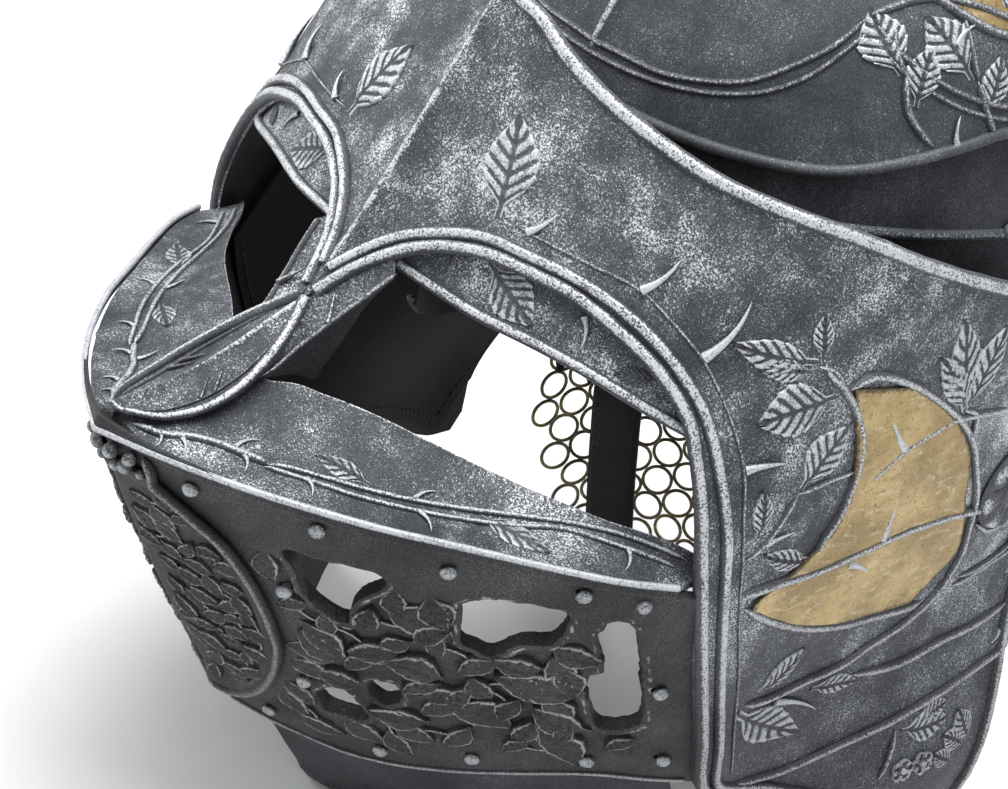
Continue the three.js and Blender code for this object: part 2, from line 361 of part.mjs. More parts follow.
RV.forEach(([th, z], i) => {
  const { p, n } = lameRivet(th, z - 9);
  const tail = 4 + LAME_T + 3.2;
  pair('skull_rivet_' + (i ? 'rear' : 'front'), latheAt([[0, -tail], [2.6, -tail], [2.6, -tail + 1.6], [RIVET_R, -tail + 1.6], [RIVET_R, .8], [2.9, .8], [2.4, 2], [1.4, 2.6], [0, 2.8]], p, n, 8), bright);
});
{
  // padded liner cap, which follows the step between the bowl and the lames
  const nu = 24, zs = [66, 84, 97, 104, 120, 131, 137, 150, 160, 168];
  const out = z => z < 98 ? 14.4 : z < 105 ? 14.4 - 5.4 * (z - 97) / 7 : z < 132 ? 9 : z < 138 ? 9 - 3.5 * (z - 131) / 6 : 5.5;
  const top = SKULL_ZT - 5.5, low = SKULL_ZT - 22;
  const row = (i, j, inner) => {
    const th = i / nu * 2 * Math.PI;
    if (j === zs.length) return [0, SKULL_YC, inner ? low : top];
    const z = inner ? 66 + (low - 66) * Math.sin((zs[j] - 66) / (top - 66) * Math.PI / 2) : zs[j];
    return skull(th, z, inner ? 22 : out(zs[j]));
  };
  add('head_liner', plate(nu, zs.length, (i, j) => row(i, j, false), (i, j) => row(i, j, true), true), cloth());
}
{
  // black leather hanger band with pointed tabs, just inside the rim
  const th0 = 1.86, nu = 32;
  const row = (i, j, off) => {
    const th = th0 + (2 * Math.PI - 2 * th0) * i / nu, a = fold(th), l = herm(RIM, a);
    return skull(th, [l - (i % 2 ? 7 : 12), l + 4, l + 16][j], off);
  };
  add('mail_hanger_band', plate(nu, 2, (i, j) => row(i, j, 11.5), (i, j) => row(i, j, 13)), black());
}
{
  // mail curtain, plain solid of its true outer shape
  const th0 = 1.86, nu = 24, zs = [BASE_Z, -108, -66.5];
  const edge = z => th0 + .27 * sm((-66 - z) / 84);
  const row = (i, j, a, b) => {
    const t0 = edge(zs[j]), th = t0 + (2 * Math.PI - 2 * t0) * i / nu;
    const c = Math.cos(th), s = Math.sin(th), r = 1 / (Math.abs(c) ** 2.25 + Math.abs(s) ** 2.25) ** (1 / 2.25);
    return [a * r * s, SKULL_YC - b * r * c, zs[j]];
  };
  add('mail_curtain', plate(nu, 2, (i, j) => row(i, j, 88, 94), (i, j) => row(i, j, 84, 90)), brass());
}
{
  // leather neck straps hanging inside the mail
  const pts = [[-65.5, 293.5, -32], [-58, 280.6, -56], [-53.5, 284.6, -85], [-47, 289.6, -115], [-43.5, 291.6, -129]];
  const across = new THREE.Vector3(.80, .48, .2).normalize();
  const face = new THREE.Vector3(-.5, .86, 0).normalize();
  const s = plate(1, pts.length - 1,
    (i, j) => { const p = pts[j], w = (i ? 13.1 : -13.1); return [p[0] + across.x * w + face.x * .9, p[1] + across.y * w * .3 + face.y * .9, p[2]]; },
    (i, j) => { const p = pts[j], w = (i ? 13.1 : -13.1); return [p[0] + across.x * w - face.x * .9, p[1] + across.y * w * .3 - face.y * .9, p[2]]; });
  add('neck_strap_right', s, black());
  add('neck_strap_left', flip(s), black());
}

helmet.updateMatrixWorld(true);
export default helmet;
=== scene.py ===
import bpy, math
import numpy as np
from mathutils import Matrix, Vector


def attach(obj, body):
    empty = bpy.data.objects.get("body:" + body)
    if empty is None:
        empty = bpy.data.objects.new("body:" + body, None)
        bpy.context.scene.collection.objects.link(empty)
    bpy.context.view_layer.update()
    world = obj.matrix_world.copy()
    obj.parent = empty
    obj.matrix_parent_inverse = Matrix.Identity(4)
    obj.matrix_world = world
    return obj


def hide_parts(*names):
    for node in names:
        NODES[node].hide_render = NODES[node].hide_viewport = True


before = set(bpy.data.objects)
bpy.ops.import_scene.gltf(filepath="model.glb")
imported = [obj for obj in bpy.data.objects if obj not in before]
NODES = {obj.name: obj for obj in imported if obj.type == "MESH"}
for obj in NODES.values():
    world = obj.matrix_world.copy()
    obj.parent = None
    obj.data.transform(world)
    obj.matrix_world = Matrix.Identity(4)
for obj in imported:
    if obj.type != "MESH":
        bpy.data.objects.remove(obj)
bpy.context.view_layer.update()

# The object's own working coordinates: millimetres, origin at the tip of the beak.
SHIFT = np.array([0.0, -172.55, 150.0])
BASE_Z = -150.0
PIVOT_Y, PIVOT_Z = 244.0, 12.0

# ------------------------------------------------------------------ camera
cam_data = bpy.data.cameras.new("camera")
cam_data.sensor_width = 36.0
cam_data.lens = 71.43
cam_data.clip_start = 0.01
cam = bpy.data.objects.new("camera", cam_data)
bpy.context.scene.collection.objects.link(cam)
_R, _U, _B = (.64901, .70233, .29239), (-.50109, .10547, .85895), (.57244, -.70398, .42039)
cam.matrix_world = Matrix(((_R[0], _U[0], _B[0], .34402), (_R[1], _U[1], _B[1], -.44950), (_R[2], _U[2], _B[2], .38943), (0, 0, 0, 1)))
bpy.context.scene.camera = cam

# ------------------------------------------------------------------ tables
class Tab:
    """A smooth curve through a table, straight beyond its ends."""
    def __init__(s, T):
        T = np.array(T, float); s.x, s.y = T[:, 0], T[:, 1]; n = len(s.x)
        a, b = np.maximum(np.arange(n) - 1, 0), np.minimum(np.arange(n) + 1, n - 1)
        s.m = (s.y[b] - s.y[a]) / (s.x[b] - s.x[a])
    def __call__(s, x):
        x = np.asarray(x, float)
        i = np.clip(np.searchsorted(s.x, x, side="left") - 1, 0, len(s.x) - 2)
        h = s.x[i + 1] - s.x[i]; t = (x - s.x[i]) / h; t2 = t * t; t3 = t2 * t
        y = (2 * t3 - 3 * t2 + 1) * s.y[i] + (t3 - 2 * t2 + t) * h * s.m[i] + (-2 * t3 + 3 * t2) * s.y[i + 1] + (t3 - t2) * h * s.m[i + 1]
        lo = s.y[0] + (s.y[1] - s.y[0]) / (s.x[1] - s.x[0]) * (x - s.x[0])
        hi = s.y[-1] + (s.y[-1] - s.y[-2]) / (s.x[-1] - s.x[-2]) * (x - s.x[-1])
        return np.where(x <= s.x[0], lo, np.where(x >= s.x[-1], hi, y))

SEC = [[0, 0], [13, 4.2], [27, 8.3], [41, 12], [56, 18], [70, 25], [82, 32.5], [91, 40], [99, 50], [105, 60.5], [109, 72], [112, 88], [114, 107], [115, 135], [115, 165], [114.5, 195], [113.5, 220], [112, 250], [110, 285]]
_u = [0.0]
for _i in range(1, len(SEC)):
    _u.append(_u[-1] + math.hypot(SEC[_i][0] - SEC[_i - 1][0], SEC[_i][1] - SEC[_i - 1][1]))
TX = Tab([[u, p[0]] for u, p in zip(_u, SEC)])
TD = Tab([[u, p[1]] for u, p in zip(_u, SEC)])
YM = Tab([[-120, -26], [-88, -8.7], [-40, 17.7], [0, 39.7], [30.9, 56.7], [45, 64.9], [85.8, 81.5], [110.7, 91.3], [125, 97.5], [145, 107]])
WZ = Tab([[-110, .925], [-88, .945], [-40, .98], [0, 1], [40, 1], [80, .985], [120, .93], [145, .88]])
YEQ = Tab([[0, 0], [18, 8], [38, 21], [60, 41], [76, 60], [90, 77], [101, 92], [109, 108], [114, 122]])
ZLOW = Tab([[0, 27.5], [2.1, 30.7], [6.9, 38], [14.3, 45.9], [22.6, 51.1], [35.6, 55.1], [48.5, 55.8], [61.4, 55.2], [75.9, 51.6], [89.2, 46.6], [103.2, 37.8], [112.9, 28], [122.9, 16.3], [133.1, 3.7], [146, -10.6], [168.2, -32.6], [198.3, -59.5], [223.2, -81.1], [240, -89], [268, -95], [300, -104], [328, -112], [352, -119], [364, -118]])
ZTOP = Tab([[0, 116], [6.2, 113.1], [13.9, 111.2], [27.5, 105.3], [45, 99.9], [60, 96.4], [78, 93.3], [99, 91.9], [120, 90], [142, 86], [179, 80], [215, 75], [245, 68], [262, 61], [276, 52], [292, 36], [304, 16], [316, -8], [328, -36], [340, -62], [352, -88], [364, -110]])
ZBREATH = Tab([[0, -108.4], [10, -108.2], [22.6, -107.5], [34.7, -107], [47.1, -104], [56.2, -100.4], [72.4, -92.9], [91, -83.5], [107, -80]])
DPANEL = Tab([[-98, 6.5], [-94, 12.5], [-86.7, 19.7], [-75, 27], [-61.7, 32], [-53.9, 33], [-43.5, 32.8], [-33, 30.9], [-25, 27.3], [-19.4, 20.9], [-15, 14.8], [-12.5, 10.5]])
BOWL_EDGE = Tab([[0, 86.5], [.31, 87.3], [.51, 88.9], [.76, 93.6], [1.05, 107], [1.18, 112.9], [1.45, 119], [1.8, 116], [2.3, 102], [2.8, 90], [3.142, 86]])
LAME_EDGE = Tab([[0, 68], [.5, 74], [.97, 80.8], [1.29, 84.8], [1.6, 86], [2.2, 80], [2.8, 70], [3.142, 66]])
RIM = Tab([[.9, -20], [1.1, -36], [1.4, -40], [1.75, -42], [2.0, -49], [2.4, -52], [3.142, -53]])
LIDLOW = Tab([[14.3, 43], [35.6, 41.7], [57, 41.4], [71, 40.6], [84, 38.9], [104, 35.3], [112.9, 33]])
LIDTOP = Tab([[14.3, 52.5], [22.6, 57], [35.6, 60.5], [48.5, 61.4], [61.4, 60.6], [75.9, 57.4], [89.2, 52], [103.2, 43.5], [112.9, 37]])
BACK = Tab([[0, 38.5], [8, 41.5], [14, 47.5], [20, 51.5], [26, 55.5], [59, 77.4], [83, 98.8], [92, 108.3], [98, 114], [103, 118]])
NOSEW = Tab([[0, 1.6], [.15, 5.2], [.35, 8.6], [.6, 9.4], [.8, 7.6], [1, 4.6]])

def sm(t):
    t = np.clip(t, 0, 1); return t * t * (3 - 2 * t)
def visor(u, z):
    u, z = np.broadcast_arrays(np.asarray(u, float), np.asarray(z, float))
    a = np.abs(u); y = YM(z) + TD(a)
    return np.stack([np.sign(u) * np.where(a < 1e-9, 0, TX(a) * WZ(z) + 26 * sm((-z - 15) / 85) * sm((y - 165) / 100)), y, z], -1)
def _lower(x, z, b, add):
    x, z = np.broadcast_arrays(np.asarray(x, float), np.asarray(z, float))
    a = np.abs(x); t = -3 - z
    return np.stack([x, YEQ(a) + (.55 - .0003 * a) * t + b * t * t + add, z], -1)
def breath(x, z): return _lower(x, z, .0013, 0)
def chin(x, z): return _lower(x, z, .0011, 8.5)
def zeq(x): return -3 + 3 * np.exp(-np.abs(x) / 15)
def shelf(x, y):
    x, y = np.broadcast_arrays(np.asarray(x, float), np.asarray(y, float))
    return np.stack([x, y, zeq(x) + .0068 * (y - YEQ(np.abs(x))) ** 2], -1)
def skull_k(z, zt):
    return np.where(z <= 55, 1 - np.where(z < 0, .06 * (z / 58) ** 2, 0), np.maximum(0, 1 - (np.clip((z - 55) / (zt - 55), 0, 1)) ** 2.5) ** .4)
def skull_at(off):
    def f(th, z):
        th, z = np.broadcast_arrays(np.asarray(th, float), np.asarray(z, float))
        c, s = np.cos(th), np.sin(th)
        r = skull_k(z, 178 - off) / (np.abs(c) ** 2.25 + np.abs(s) ** 2.25) ** (1 / 2.25)
        return np.stack([(104 - off) * r * s, 239 - (110 - off) * r * c, z], -1)
    return f
skull = skull_at(0)

def unit(v):
    return v / np.maximum(np.linalg.norm(v, axis=-1, keepdims=True), 1e-12)
def normal(f, a, b, sign=1, ea=.4, eb=.4):
    return sign * unit(np.cross(f(a + ea, b) - f(a - ea, b), f(a, b + eb) - f(a, b - eb)))
def lift(f, a, b, d, sign=1, ea=.4, eb=.4):
    return f(a, b) + normal(f, a, b, sign, ea, eb) * np.asarray(d)[..., None]

rng = np.random.default_rng(7)
def lattice(seed, n=256):
    return np.random.default_rng(seed).random((n, n))
_L = {}
def noise2(x, y, seed=0):
    """Smooth value noise of period 256 cells, from 0 to 1."""
    if seed not in _L: _L[seed] = lattice(seed)
    L = _L[seed]; xi = np.floor(x).astype(int); yi = np.floor(y).astype(int); fx, fy = sm(x - xi), sm(y - yi)
    g = lambda i, j: L[(xi + i) % 256, (yi + j) % 256]
    return (g(0, 0) * (1 - fx) + g(1, 0) * fx) * (1 - fy) + (g(0, 1) * (1 - fx) + g(1, 1) * fx) * fy

# ------------------------------------------------------------------ meshes
class Mesh:
    """Gathers parts of one piece: points in working millimetres, faces, and how worn each point is."""
    def __init__(s): s.p, s.f, s.w, s.m, s.n = [], [], [], [], 0
    def add(s, p, faces, wear=0.0, mat=0):
        p = np.asarray(p, float).reshape(-1, 3)
        s.p.append(p); s.w.append(np.broadcast_to(np.asarray(wear, float).reshape(-1) if np.ndim(wear) else wear, (len(p),)).astype(float))
        for q in faces:
            s.f.append(np.asarray(q, int) + s.n); s.m.append(np.full(len(q), mat))
        s.n += len(p)
    def mirrored(s):
        """Adds the mirror image of everything so far."""
        n, k = s.n, len(s.f)
        for i in range(len(s.p)):
            q = s.p[i].copy(); q[:, 0] *= -1; s.p.append(q); s.w.append(s.w[i])
        for i in range(k): s.f.append(s.f[i][:, ::-1] + n); s.m.append(s.m[i])
        s.n = 2 * n
        return s
    def join(s, o):
        for p, w in zip(o.p, o.w): s.p.append(p); s.w.append(w)
        for f, m in zip(o.f, o.m): s.f.append(f + s.n); s.m.append(m)
        s.n += o.n
    def flipped(s):
        t = Mesh(); t.n = s.n; t.p = [p * [-1, 1, 1] for p in s.p]; t.w = list(s.w); t.f = [f[:, ::-1] for f in s.f]; t.m = list(s.m)
        return t
    def build(s, name, mats, smooth=True, sharp=None):
        P = (np.concatenate(s.p) + SHIFT) / 1000.0; W = np.concatenate(s.w)
        loops, starts, totals, mi = [], [], [], []
        at = 0
        for f, m in zip(s.f, s.m):
            if not len(f): continue
            k = f.shape[1]; loops.append(f.reshape(-1)); starts.append(at + np.arange(len(f)) * k); totals.append(np.full(len(f), k)); mi.append(m); at += f.size
        loops, starts, totals, mi = map(np.concatenate, (loops, starts, totals, mi))
        me = bpy.data.meshes.new(name)
        me.vertices.add(len(P)); me.vertices.foreach_set("co", P.reshape(-1))
        me.loops.add(len(loops)); me.loops.foreach_set("vertex_index", loops)
        me.polygons.add(len(starts)); me.polygons.foreach_set("loop_start", starts)
        me.polygons.foreach_set("material_index", mi)
        me.update(calc_edges=True); me.validate()
        me.polygons.foreach_set("use_smooth", np.full(len(me.polygons), smooth))
        a = me.attributes.new("wear", "FLOAT", "POINT")
        if len(me.vertices) == len(W): a.data.foreach_set("value", W.astype(np.float32))
        for m in (mats if isinstance(mats, (list, tuple)) else [mats]): me.materials.append(m)
        o = bpy.data.objects.new(name, me); bpy.context.scene.collection.objects.link(o)
        if sharp: me.set_sharp_from_angle(angle=math.radians(sharp))
        return o

def grid_faces(nu, nv, wrap=False):
    """Quads of an nu x nv grid of points, by index i * nv + j."""
    i = np.arange(nu if wrap else nu - 1)[:, None]; j = np.arange(nv - 1)[None, :]
    a = i * nv + j; b = ((i + 1) % nu) * nv + j
    return np.stack([a, b, b + 1, a + 1], -1).reshape(-1, 4)

def walls(faces, n):
    """Quads that join each open edge of a sheet to its copy n points later."""
    e = np.concatenate([faces[:, [k, (k + 1) % faces.shape[1]]] for k in range(faces.shape[1])])
    key = e[:, 0].astype(np.int64) * 10000000 + e[:, 1]; back = e[:, 1].astype(np.int64) * 10000000 + e[:, 0]
    e = e[~np.isin(key, back)]
    return np.stack([e[:, 1], e[:, 0], e[:, 0] + n, e[:, 1] + n], -1)

def plate(M, P, Q, faces, wear=0.0, mat=0, mat_in=None):
    """A closed plate: outer points P, inner points Q, the same faces on both."""
    P, Q = P.reshape(-1, 3), Q.reshape(-1, 3); n = len(P)
    w = np.broadcast_to(np.asarray(wear, float).reshape(-1) if np.ndim(wear) else wear, (n,))
    M.add(np.concatenate([P, Q]), [faces, walls(faces, n)], np.concatenate([w, w * .3]), mat)
    k = M.n - 2 * n
    M.f.append(faces[:, ::-1] + n + k); M.m.append(np.full(len(faces), mat if mat_in is None else mat_in))

def spline(pts, n=None, step=1.0, closed=False):
    """A smooth curve through points, of any width, with even steps."""
    p = np.asarray(pts, float)
    if closed: p = np.concatenate([p[-1:], p, p[:2]])
    else: p = np.concatenate([2 * p[:1] - p[1:2], p, 2 * p[-1:] - p[-2:-1]])
    out = []
    for i in range(1, len(p) - 2):
        p0, p1, p2, p3 = p[i - 1:i + 3]
        d = [max(np.linalg.norm(b - a), 1e-6) ** .5 for a, b in ((p0, p1), (p1, p2), (p2, p3))]
        m1 = (p1 - p0) / d[0] - (p2 - p0) / (d[0] + d[1]) + (p2 - p1) / d[1]
        m2 = (p2 - p1) / d[1] - (p3 - p1) / (d[1] + d[2]) + (p3 - p2) / d[2]
        t = np.linspace(0, 1, 24, endpoint=False)[:, None]; t2, t3 = t * t, t ** 3
        out.append((2 * t3 - 3 * t2 + 1) * p1 + (t3 - 2 * t2 + t) * d[1] * m1 + (-2 * t3 + 3 * t2) * p2 + (t3 - t2) * d[1] * m2)
    out = np.concatenate(out + [p[-2:-1]])
    L = np.concatenate([[0], np.cumsum(np.linalg.norm(np.diff(out, axis=0), axis=1))])
    k = n or max(4, int(L[-1] / step) + 1)
    s = np.linspace(0, L[-1], k)
    return np.stack([np.interp(s, L, out[:, c]) for c in range(out.shape[1])], -1)

def along(f, pts, step=1.2, sign=1, ea=.4, eb=.4, scale=(1, 1)):
    """Points and surface normals along a curve drawn on a surface."""
    q = spline(np.asarray(pts, float) * scale, step=step) / scale
    P = f(q[:, 0], q[:, 1]); N = normal(f, q[:, 0], q[:, 1], sign, ea, eb)
    return P, N

def tube(M, P, N, r, rise=.35, flat=1.0, sides=10, top=1.0, low=.15, taper=(0, 0), mat=0, seed=None, shape=1.4, closed=False):
    """A roll or stem along points P with its back in the surface, bright on its crown."""
    n = len(P); T = unit(np.gradient(P, axis=0)); B = unit(np.cross(T, N)); N = unit(np.cross(B, T))
    s = np.concatenate([[0], np.cumsum(np.linalg.norm(np.diff(P, axis=0), axis=1))])
    r = np.broadcast_to(np.asarray(r, float), (n,)).copy()
    if taper[0]: r *= np.clip(np.sqrt(np.clip(s / taper[0], 0, 1)), .12, 1)
    if taper[1]: r *= np.clip(np.sqrt(np.clip((s[-1] - s) / taper[1], 0, 1)), .12, 1)
    if seed is not None: r = r * (.93 + .14 * noise2(s * .35, np.full(n, .5), seed))
    ph = np.arange(sides) * 2 * np.pi / sides
    c, sn = np.cos(ph), np.sin(ph)
    V = P[:, None] + N[:, None] * (r[:, None] * (c[None] * flat + rise))[..., None] + B[:, None] * (r[:, None] * sn[None])[..., None]
    w = low + (top - low) * np.clip(c, 0, 1) ** shape
    W = np.broadcast_to(w, (n, sides))
    i = np.arange(n - 1)[:, None]; j = np.arange(sides)[None]; k = (j + 1) % sides
    q = np.stack([i * sides + j + 0 * i, i * sides + k, (i + 1) * sides + k, (i + 1) * sides + j], -1).reshape(-1, 4)
    F = [q]
    if closed:
        j = np.arange(sides); F.append(np.stack([(n - 1) * sides + j, (n - 1) * sides + (j + 1) % sides, (j + 1) % sides, j], -1)); M.add(V, F, W, mat); return
    base = len(V.reshape(-1, 3)); ends = np.stack([P[0] + N[0] * r[0] * rise, P[-1] + N[-1] * r[-1] * rise])
    j = np.arange(sides); k = (j + 1) % sides
    F.append(np.stack([np.full(sides, base), k, j], -1)); F.append(np.stack([np.full(sides, base + 1), (n - 1) * sides + j, (n - 1) * sides + k], -1))
    M.add(np.concatenate([V.reshape(-1, 3), ends]), F, np.concatenate([W.reshape(-1), [top * .6, top * .6]]), mat)

def local_frame(f, a, b, sign=1, ea=.4, eb=.4):
    """How surface parameters change for a step of 1 mm along the surface."""
    fa = (f(a + ea, b) - f(a - ea, b)) / (2 * ea); fb = (f(a, b + eb) - f(a, b - eb)) / (2 * eb)
    return np.stack([fa, fb], -1)

def stamp(f, base, tip, sign=1, ea=.4, eb=.4):
    """Local millimetre axes on the surface: x from base to tip, y to its left."""
    base, tip = np.array(base, float), np.array(tip, float); mid = (base + tip) / 2
    J = local_frame(f, mid[0], mid[1], sign, ea, eb); A, B = f(*base), f(*tip)
    L = np.linalg.norm(B - A); X = (B - A) / L; N = normal(f, mid[0], mid[1], sign, ea, eb); Y = unit(np.cross(N, X))
    Ji = np.linalg.pinv(J); gx = (tip - base) / L; gy = Ji @ Y
    return lambda x, y, h: lift(f, base[0] + gx[0] * x + gy[0] * y, base[1] + gx[1] * x + gy[1] * y, h, sign, ea, eb), L

def leaf(M, f, base, tip, width=.26, h=1.3, teeth=6, sign=1, ea=.4, eb=.4, bend=0.0, top=1.0, mat=0, stem=.12, seed=0, res=(44, 23), hollow=0.0):
    """A serrated leaf that stands proud of the surface, with a sunk midrib and side veins."""
    put, L = stamp(f, base, tip, sign, ea, eb)
    ns, nt = res
    s = np.linspace(0, 1, ns)[:, None]; t = np.linspace(-1, 1, nt)[None, :]
    if nt < 15: t = np.sign(t) * np.interp(np.abs(t), [0, .2, .4, .6, .8, 1], [0, .14, .42, .68, .88, 1])
    k = np.clip((s - stem) / (1 - stem), 0, 1)
    w = np.sin(np.pi * k ** .8) ** .85 * (1 - .25 * k) * 1.08
    saw = (k * teeth + .15) % 1.0
    w = w * (1 + .13 * (saw - .5) * (k > .12) * (k < .97))
    w = np.maximum(w * width * L, .035 * L * (1 - k) + .12)
    y = t * w
    x = s * L + np.abs(t) * w * .32 * (1 - k)
    y = y + bend * L * (s * (1 - s)) * 4
    at = np.abs(t)
    vein = (k * teeth - at * 1.15 + .55) % 1.0
    groove = np.exp(-((vein - .5) / .13) ** 2) * (at > .05) * (at < (.93 if hollow == 0 else .72)) * (k > .04)
    mid = np.exp(-(t * w / .45) ** 2)
    dome = (1 - at ** 2.2) * .55 + .45
    hh = h * (dome - .42 * groove - .40 * mid + .18 * np.exp(-((at - .86) / .1) ** 2))
    hh = hh * np.clip(k * 6 + .35, 0, 1)
    P = put(x + 0 * y, y, hh)
    hh = hh - hollow * h * (1 - at ** 3) * .55
    wr = top * np.clip((.47 + .25 * dome) * (1 - hollow) + (.40 + .40 * hollow) * np.exp(-((at - .88) / .13) ** 2) - .85 * groove - .80 * mid, 0, 1)
    # skirt into the surface
    Q = put(x + 0 * y, y * 1.0, np.full_like(y, -.9))
    fc = grid_faces(ns, nt)[:, ::-1] if sign > 0 else grid_faces(ns, nt)
    # orientation by a test face
    a, b, c = P[5, 5], P[6, 5], P[6, 6]; nn = np.cross(b - a, c - b); N = normal(f, np.mean([base[0], tip[0]]), np.mean([base[1], tip[1]]), sign, ea, eb)
    g = grid_faces(ns, nt)
    if nn @ N < 0: g = g[:, ::-1]
    plate(M, P, Q, g, wr, mat)

def thorn(M, f, base, tip, r=1.5, sign=1, ea=.4, eb=.4, hook=.12, top=1.0, mat=0, rise=2.2):
    """A thorn that lies on the surface: broad at its foot, hooked and sharp."""
    put, L = stamp(f, base, tip, sign, ea, eb)
    n, sides = 14, 8
    s = np.linspace(0, 1, n); rr = r * (1 - s) ** .8 * (1 - .25 * np.sin(np.pi * s)) + .06
    c = put(s * L, hook * L * s * (1 - s) * 4, .2 + rise * .35 * np.sin(np.pi * s * .9) * r / 1.5)
    T = unit(np.gradient(c, axis=0)); N = normal(f, np.mean([base[0], tip[0]]), np.mean([base[1], tip[1]]), sign, ea, eb)
    N = np.broadcast_to(N, c.shape); B = unit(np.cross(T, N)); N = unit(np.cross(B, T))
    ph = np.arange(sides) * 2 * np.pi / sides
    V = c[:, None] + N[:, None] * (rr[:, None] * np.cos(ph)[None] * .95)[..., None] + B[:, None] * (rr[:, None] * np.sin(ph)[None])[..., None]
    W = np.broadcast_to((.35 + .65 * np.clip(np.cos(ph), 0, 1)) * top, (n, sides))
    i = np.arange(n - 1)[:, None]; j = np.arange(sides)[None]; k = (j + 1) % sides
    q = np.stack([i * sides + j, i * sides + k, (i + 1) * sides + k, (i + 1) * sides + j], -1).reshape(-1, 4)
    base_i = n * sides; j = np.arange(sides); k = (j + 1) % sides
    F = [q, np.stack([np.full(sides, base_i), k, j], -1), np.stack([np.full(sides, base_i + 1), (n - 1) * sides + j, (n - 1) * sides + k], -1)]
    M.add(np.concatenate([V.reshape(-1, 3), c[:1], c[-1:]]), F, np.concatenate([W.reshape(-1), [.4, top]]), mat)

def dome(M, P, N, profile, sides=24, top=1.0, mat=0, wear=None, dent=0.0, seed=1):
    """A turned piece at P along N; profile of (radius, height), closed on the axis at both ends."""
    P, N = np.asarray(P, float), unit(np.asarray(N, float)); X = unit(np.cross(N, [.31, .2, .93])); Y = np.cross(N, X)
    pr = np.array(profile, float); n = len(pr); ph = np.arange(sides) * 2 * np.pi / sides
    R = pr[:, 0][:, None] * np.ones(sides); H = pr[:, 1][:, None] * np.ones(sides)
    if dent: H = H + dent * (noise2(R * np.cos(ph) * .9 + 40 + seed, R * np.sin(ph) * .9 + 40, 5) - .5) * (pr[:, 1] > pr[:, 1].max() * .2)[:, None]
    V = P + X * (R * np.cos(ph))[..., None] + Y * (R * np.sin(ph))[..., None] + N * H[..., None]
    W = np.broadcast_to((np.linspace(.25, 1, n) ** .6 * top if wear is None else np.asarray(wear))[:, None], (n, sides))
    i = np.arange(n - 1)[:, None]; j = np.arange(sides)[None]; k = (j + 1) % sides
    q = np.stack([i * sides + j, i * sides + k, (i + 1) * sides + k, (i + 1) * sides + j], -1).reshape(-1, 4)
    j = np.arange(sides); k = (j + 1) % sides; b = n * sides
    F = [q, np.stack([np.full(sides, b), k, j], -1), np.stack([np.full(sides, b + 1), (n - 1) * sides + j, (n - 1) * sides + k], -1)]
    M.add(np.concatenate([V.reshape(-1, 3), [P + N * pr[0, 1]], [P + N * pr[-1, 1]]]), F, np.concatenate([W.reshape(-1), [W[0, 0], W[-1, 0]]]), mat)

def flower(M, f, c, r=5.0, petals=5, sign=1, ea=.4, eb=.4, mat=0, turn=0.0, h=1.4, top=1.0):
    """A small blossom: cupped petals round a raised boss."""
    J = local_frame(f, c[0], c[1], sign, ea, eb); N = normal(f, c[0], c[1], sign, ea, eb)
    X = unit(J[:, 0]); Y = unit(np.cross(N, X)); Ji = np.linalg.pinv(J); gx, gy = Ji @ X, Ji @ Y
    for p in range(petals):
        a = turn + 2 * np.pi * p / petals
        s = np.linspace(0, 1, 12)[:, None]; t = np.linspace(-1, 1, 11)[None]
        w = r * .52 * np.sin(np.pi * np.clip(s * .86 + .1, 0, 1)) ** .7 * (1 - .12 * (s > .9))
        lx = r * (.12 + .88 * s) - .10 * r * (1 - t * t) * (s - .5) * 0; ly = t * w
        hh = h * (.45 + .55 * np.abs(t) ** 2) * (.5 + .6 * s) - .5 * np.exp(-(t / .12) ** 2) * h * .4
        x = lx * math.cos(a) - ly * math.sin(a); y = lx * math.sin(a) + ly * math.cos(a)
        A, B = c[0] + gx[0] * x + gy[0] * y, c[1] + gx[1] * x + gy[1] * y
        P = lift(f, A, B, hh, sign, ea, eb); Q = lift(f, A, B, np.full_like(hh, -.8), sign, ea, eb)
        wr = top * np.clip(.3 + .7 * np.clip((np.abs(t) - .45) / .4, 0, 1) + .4 * (s > .85) - .3 * (s < .3), 0, 1) * np.ones_like(hh)
        g = grid_faces(12, 11); nn = np.cross(P[6, 5] - P[5, 5], P[6, 6] - P[6, 5])
        if nn @ N < 0: g = g[:, ::-1]
        plate(M, P, Q, g, wr, mat)
    dome(M, f(*c), N, [(r * .27, -.6), (r * .27, h * .8), (r * .2, h * 1.35), (r * .08, h * 1.6)], sides=14, top=top, mat=mat)

def ball(M, P, N, r, mat=0, top=.8, seed=0):
    a = np.linspace(0, np.pi / 2 + .4, 7)[::-1]
    dome(M, np.asarray(P) + unit(np.asarray(N)) * r * .35, N, [(r * math.sin(x), r * math.cos(x)) for x in a], sides=12, mat=mat, wear=np.linspace(.1, top, 7))

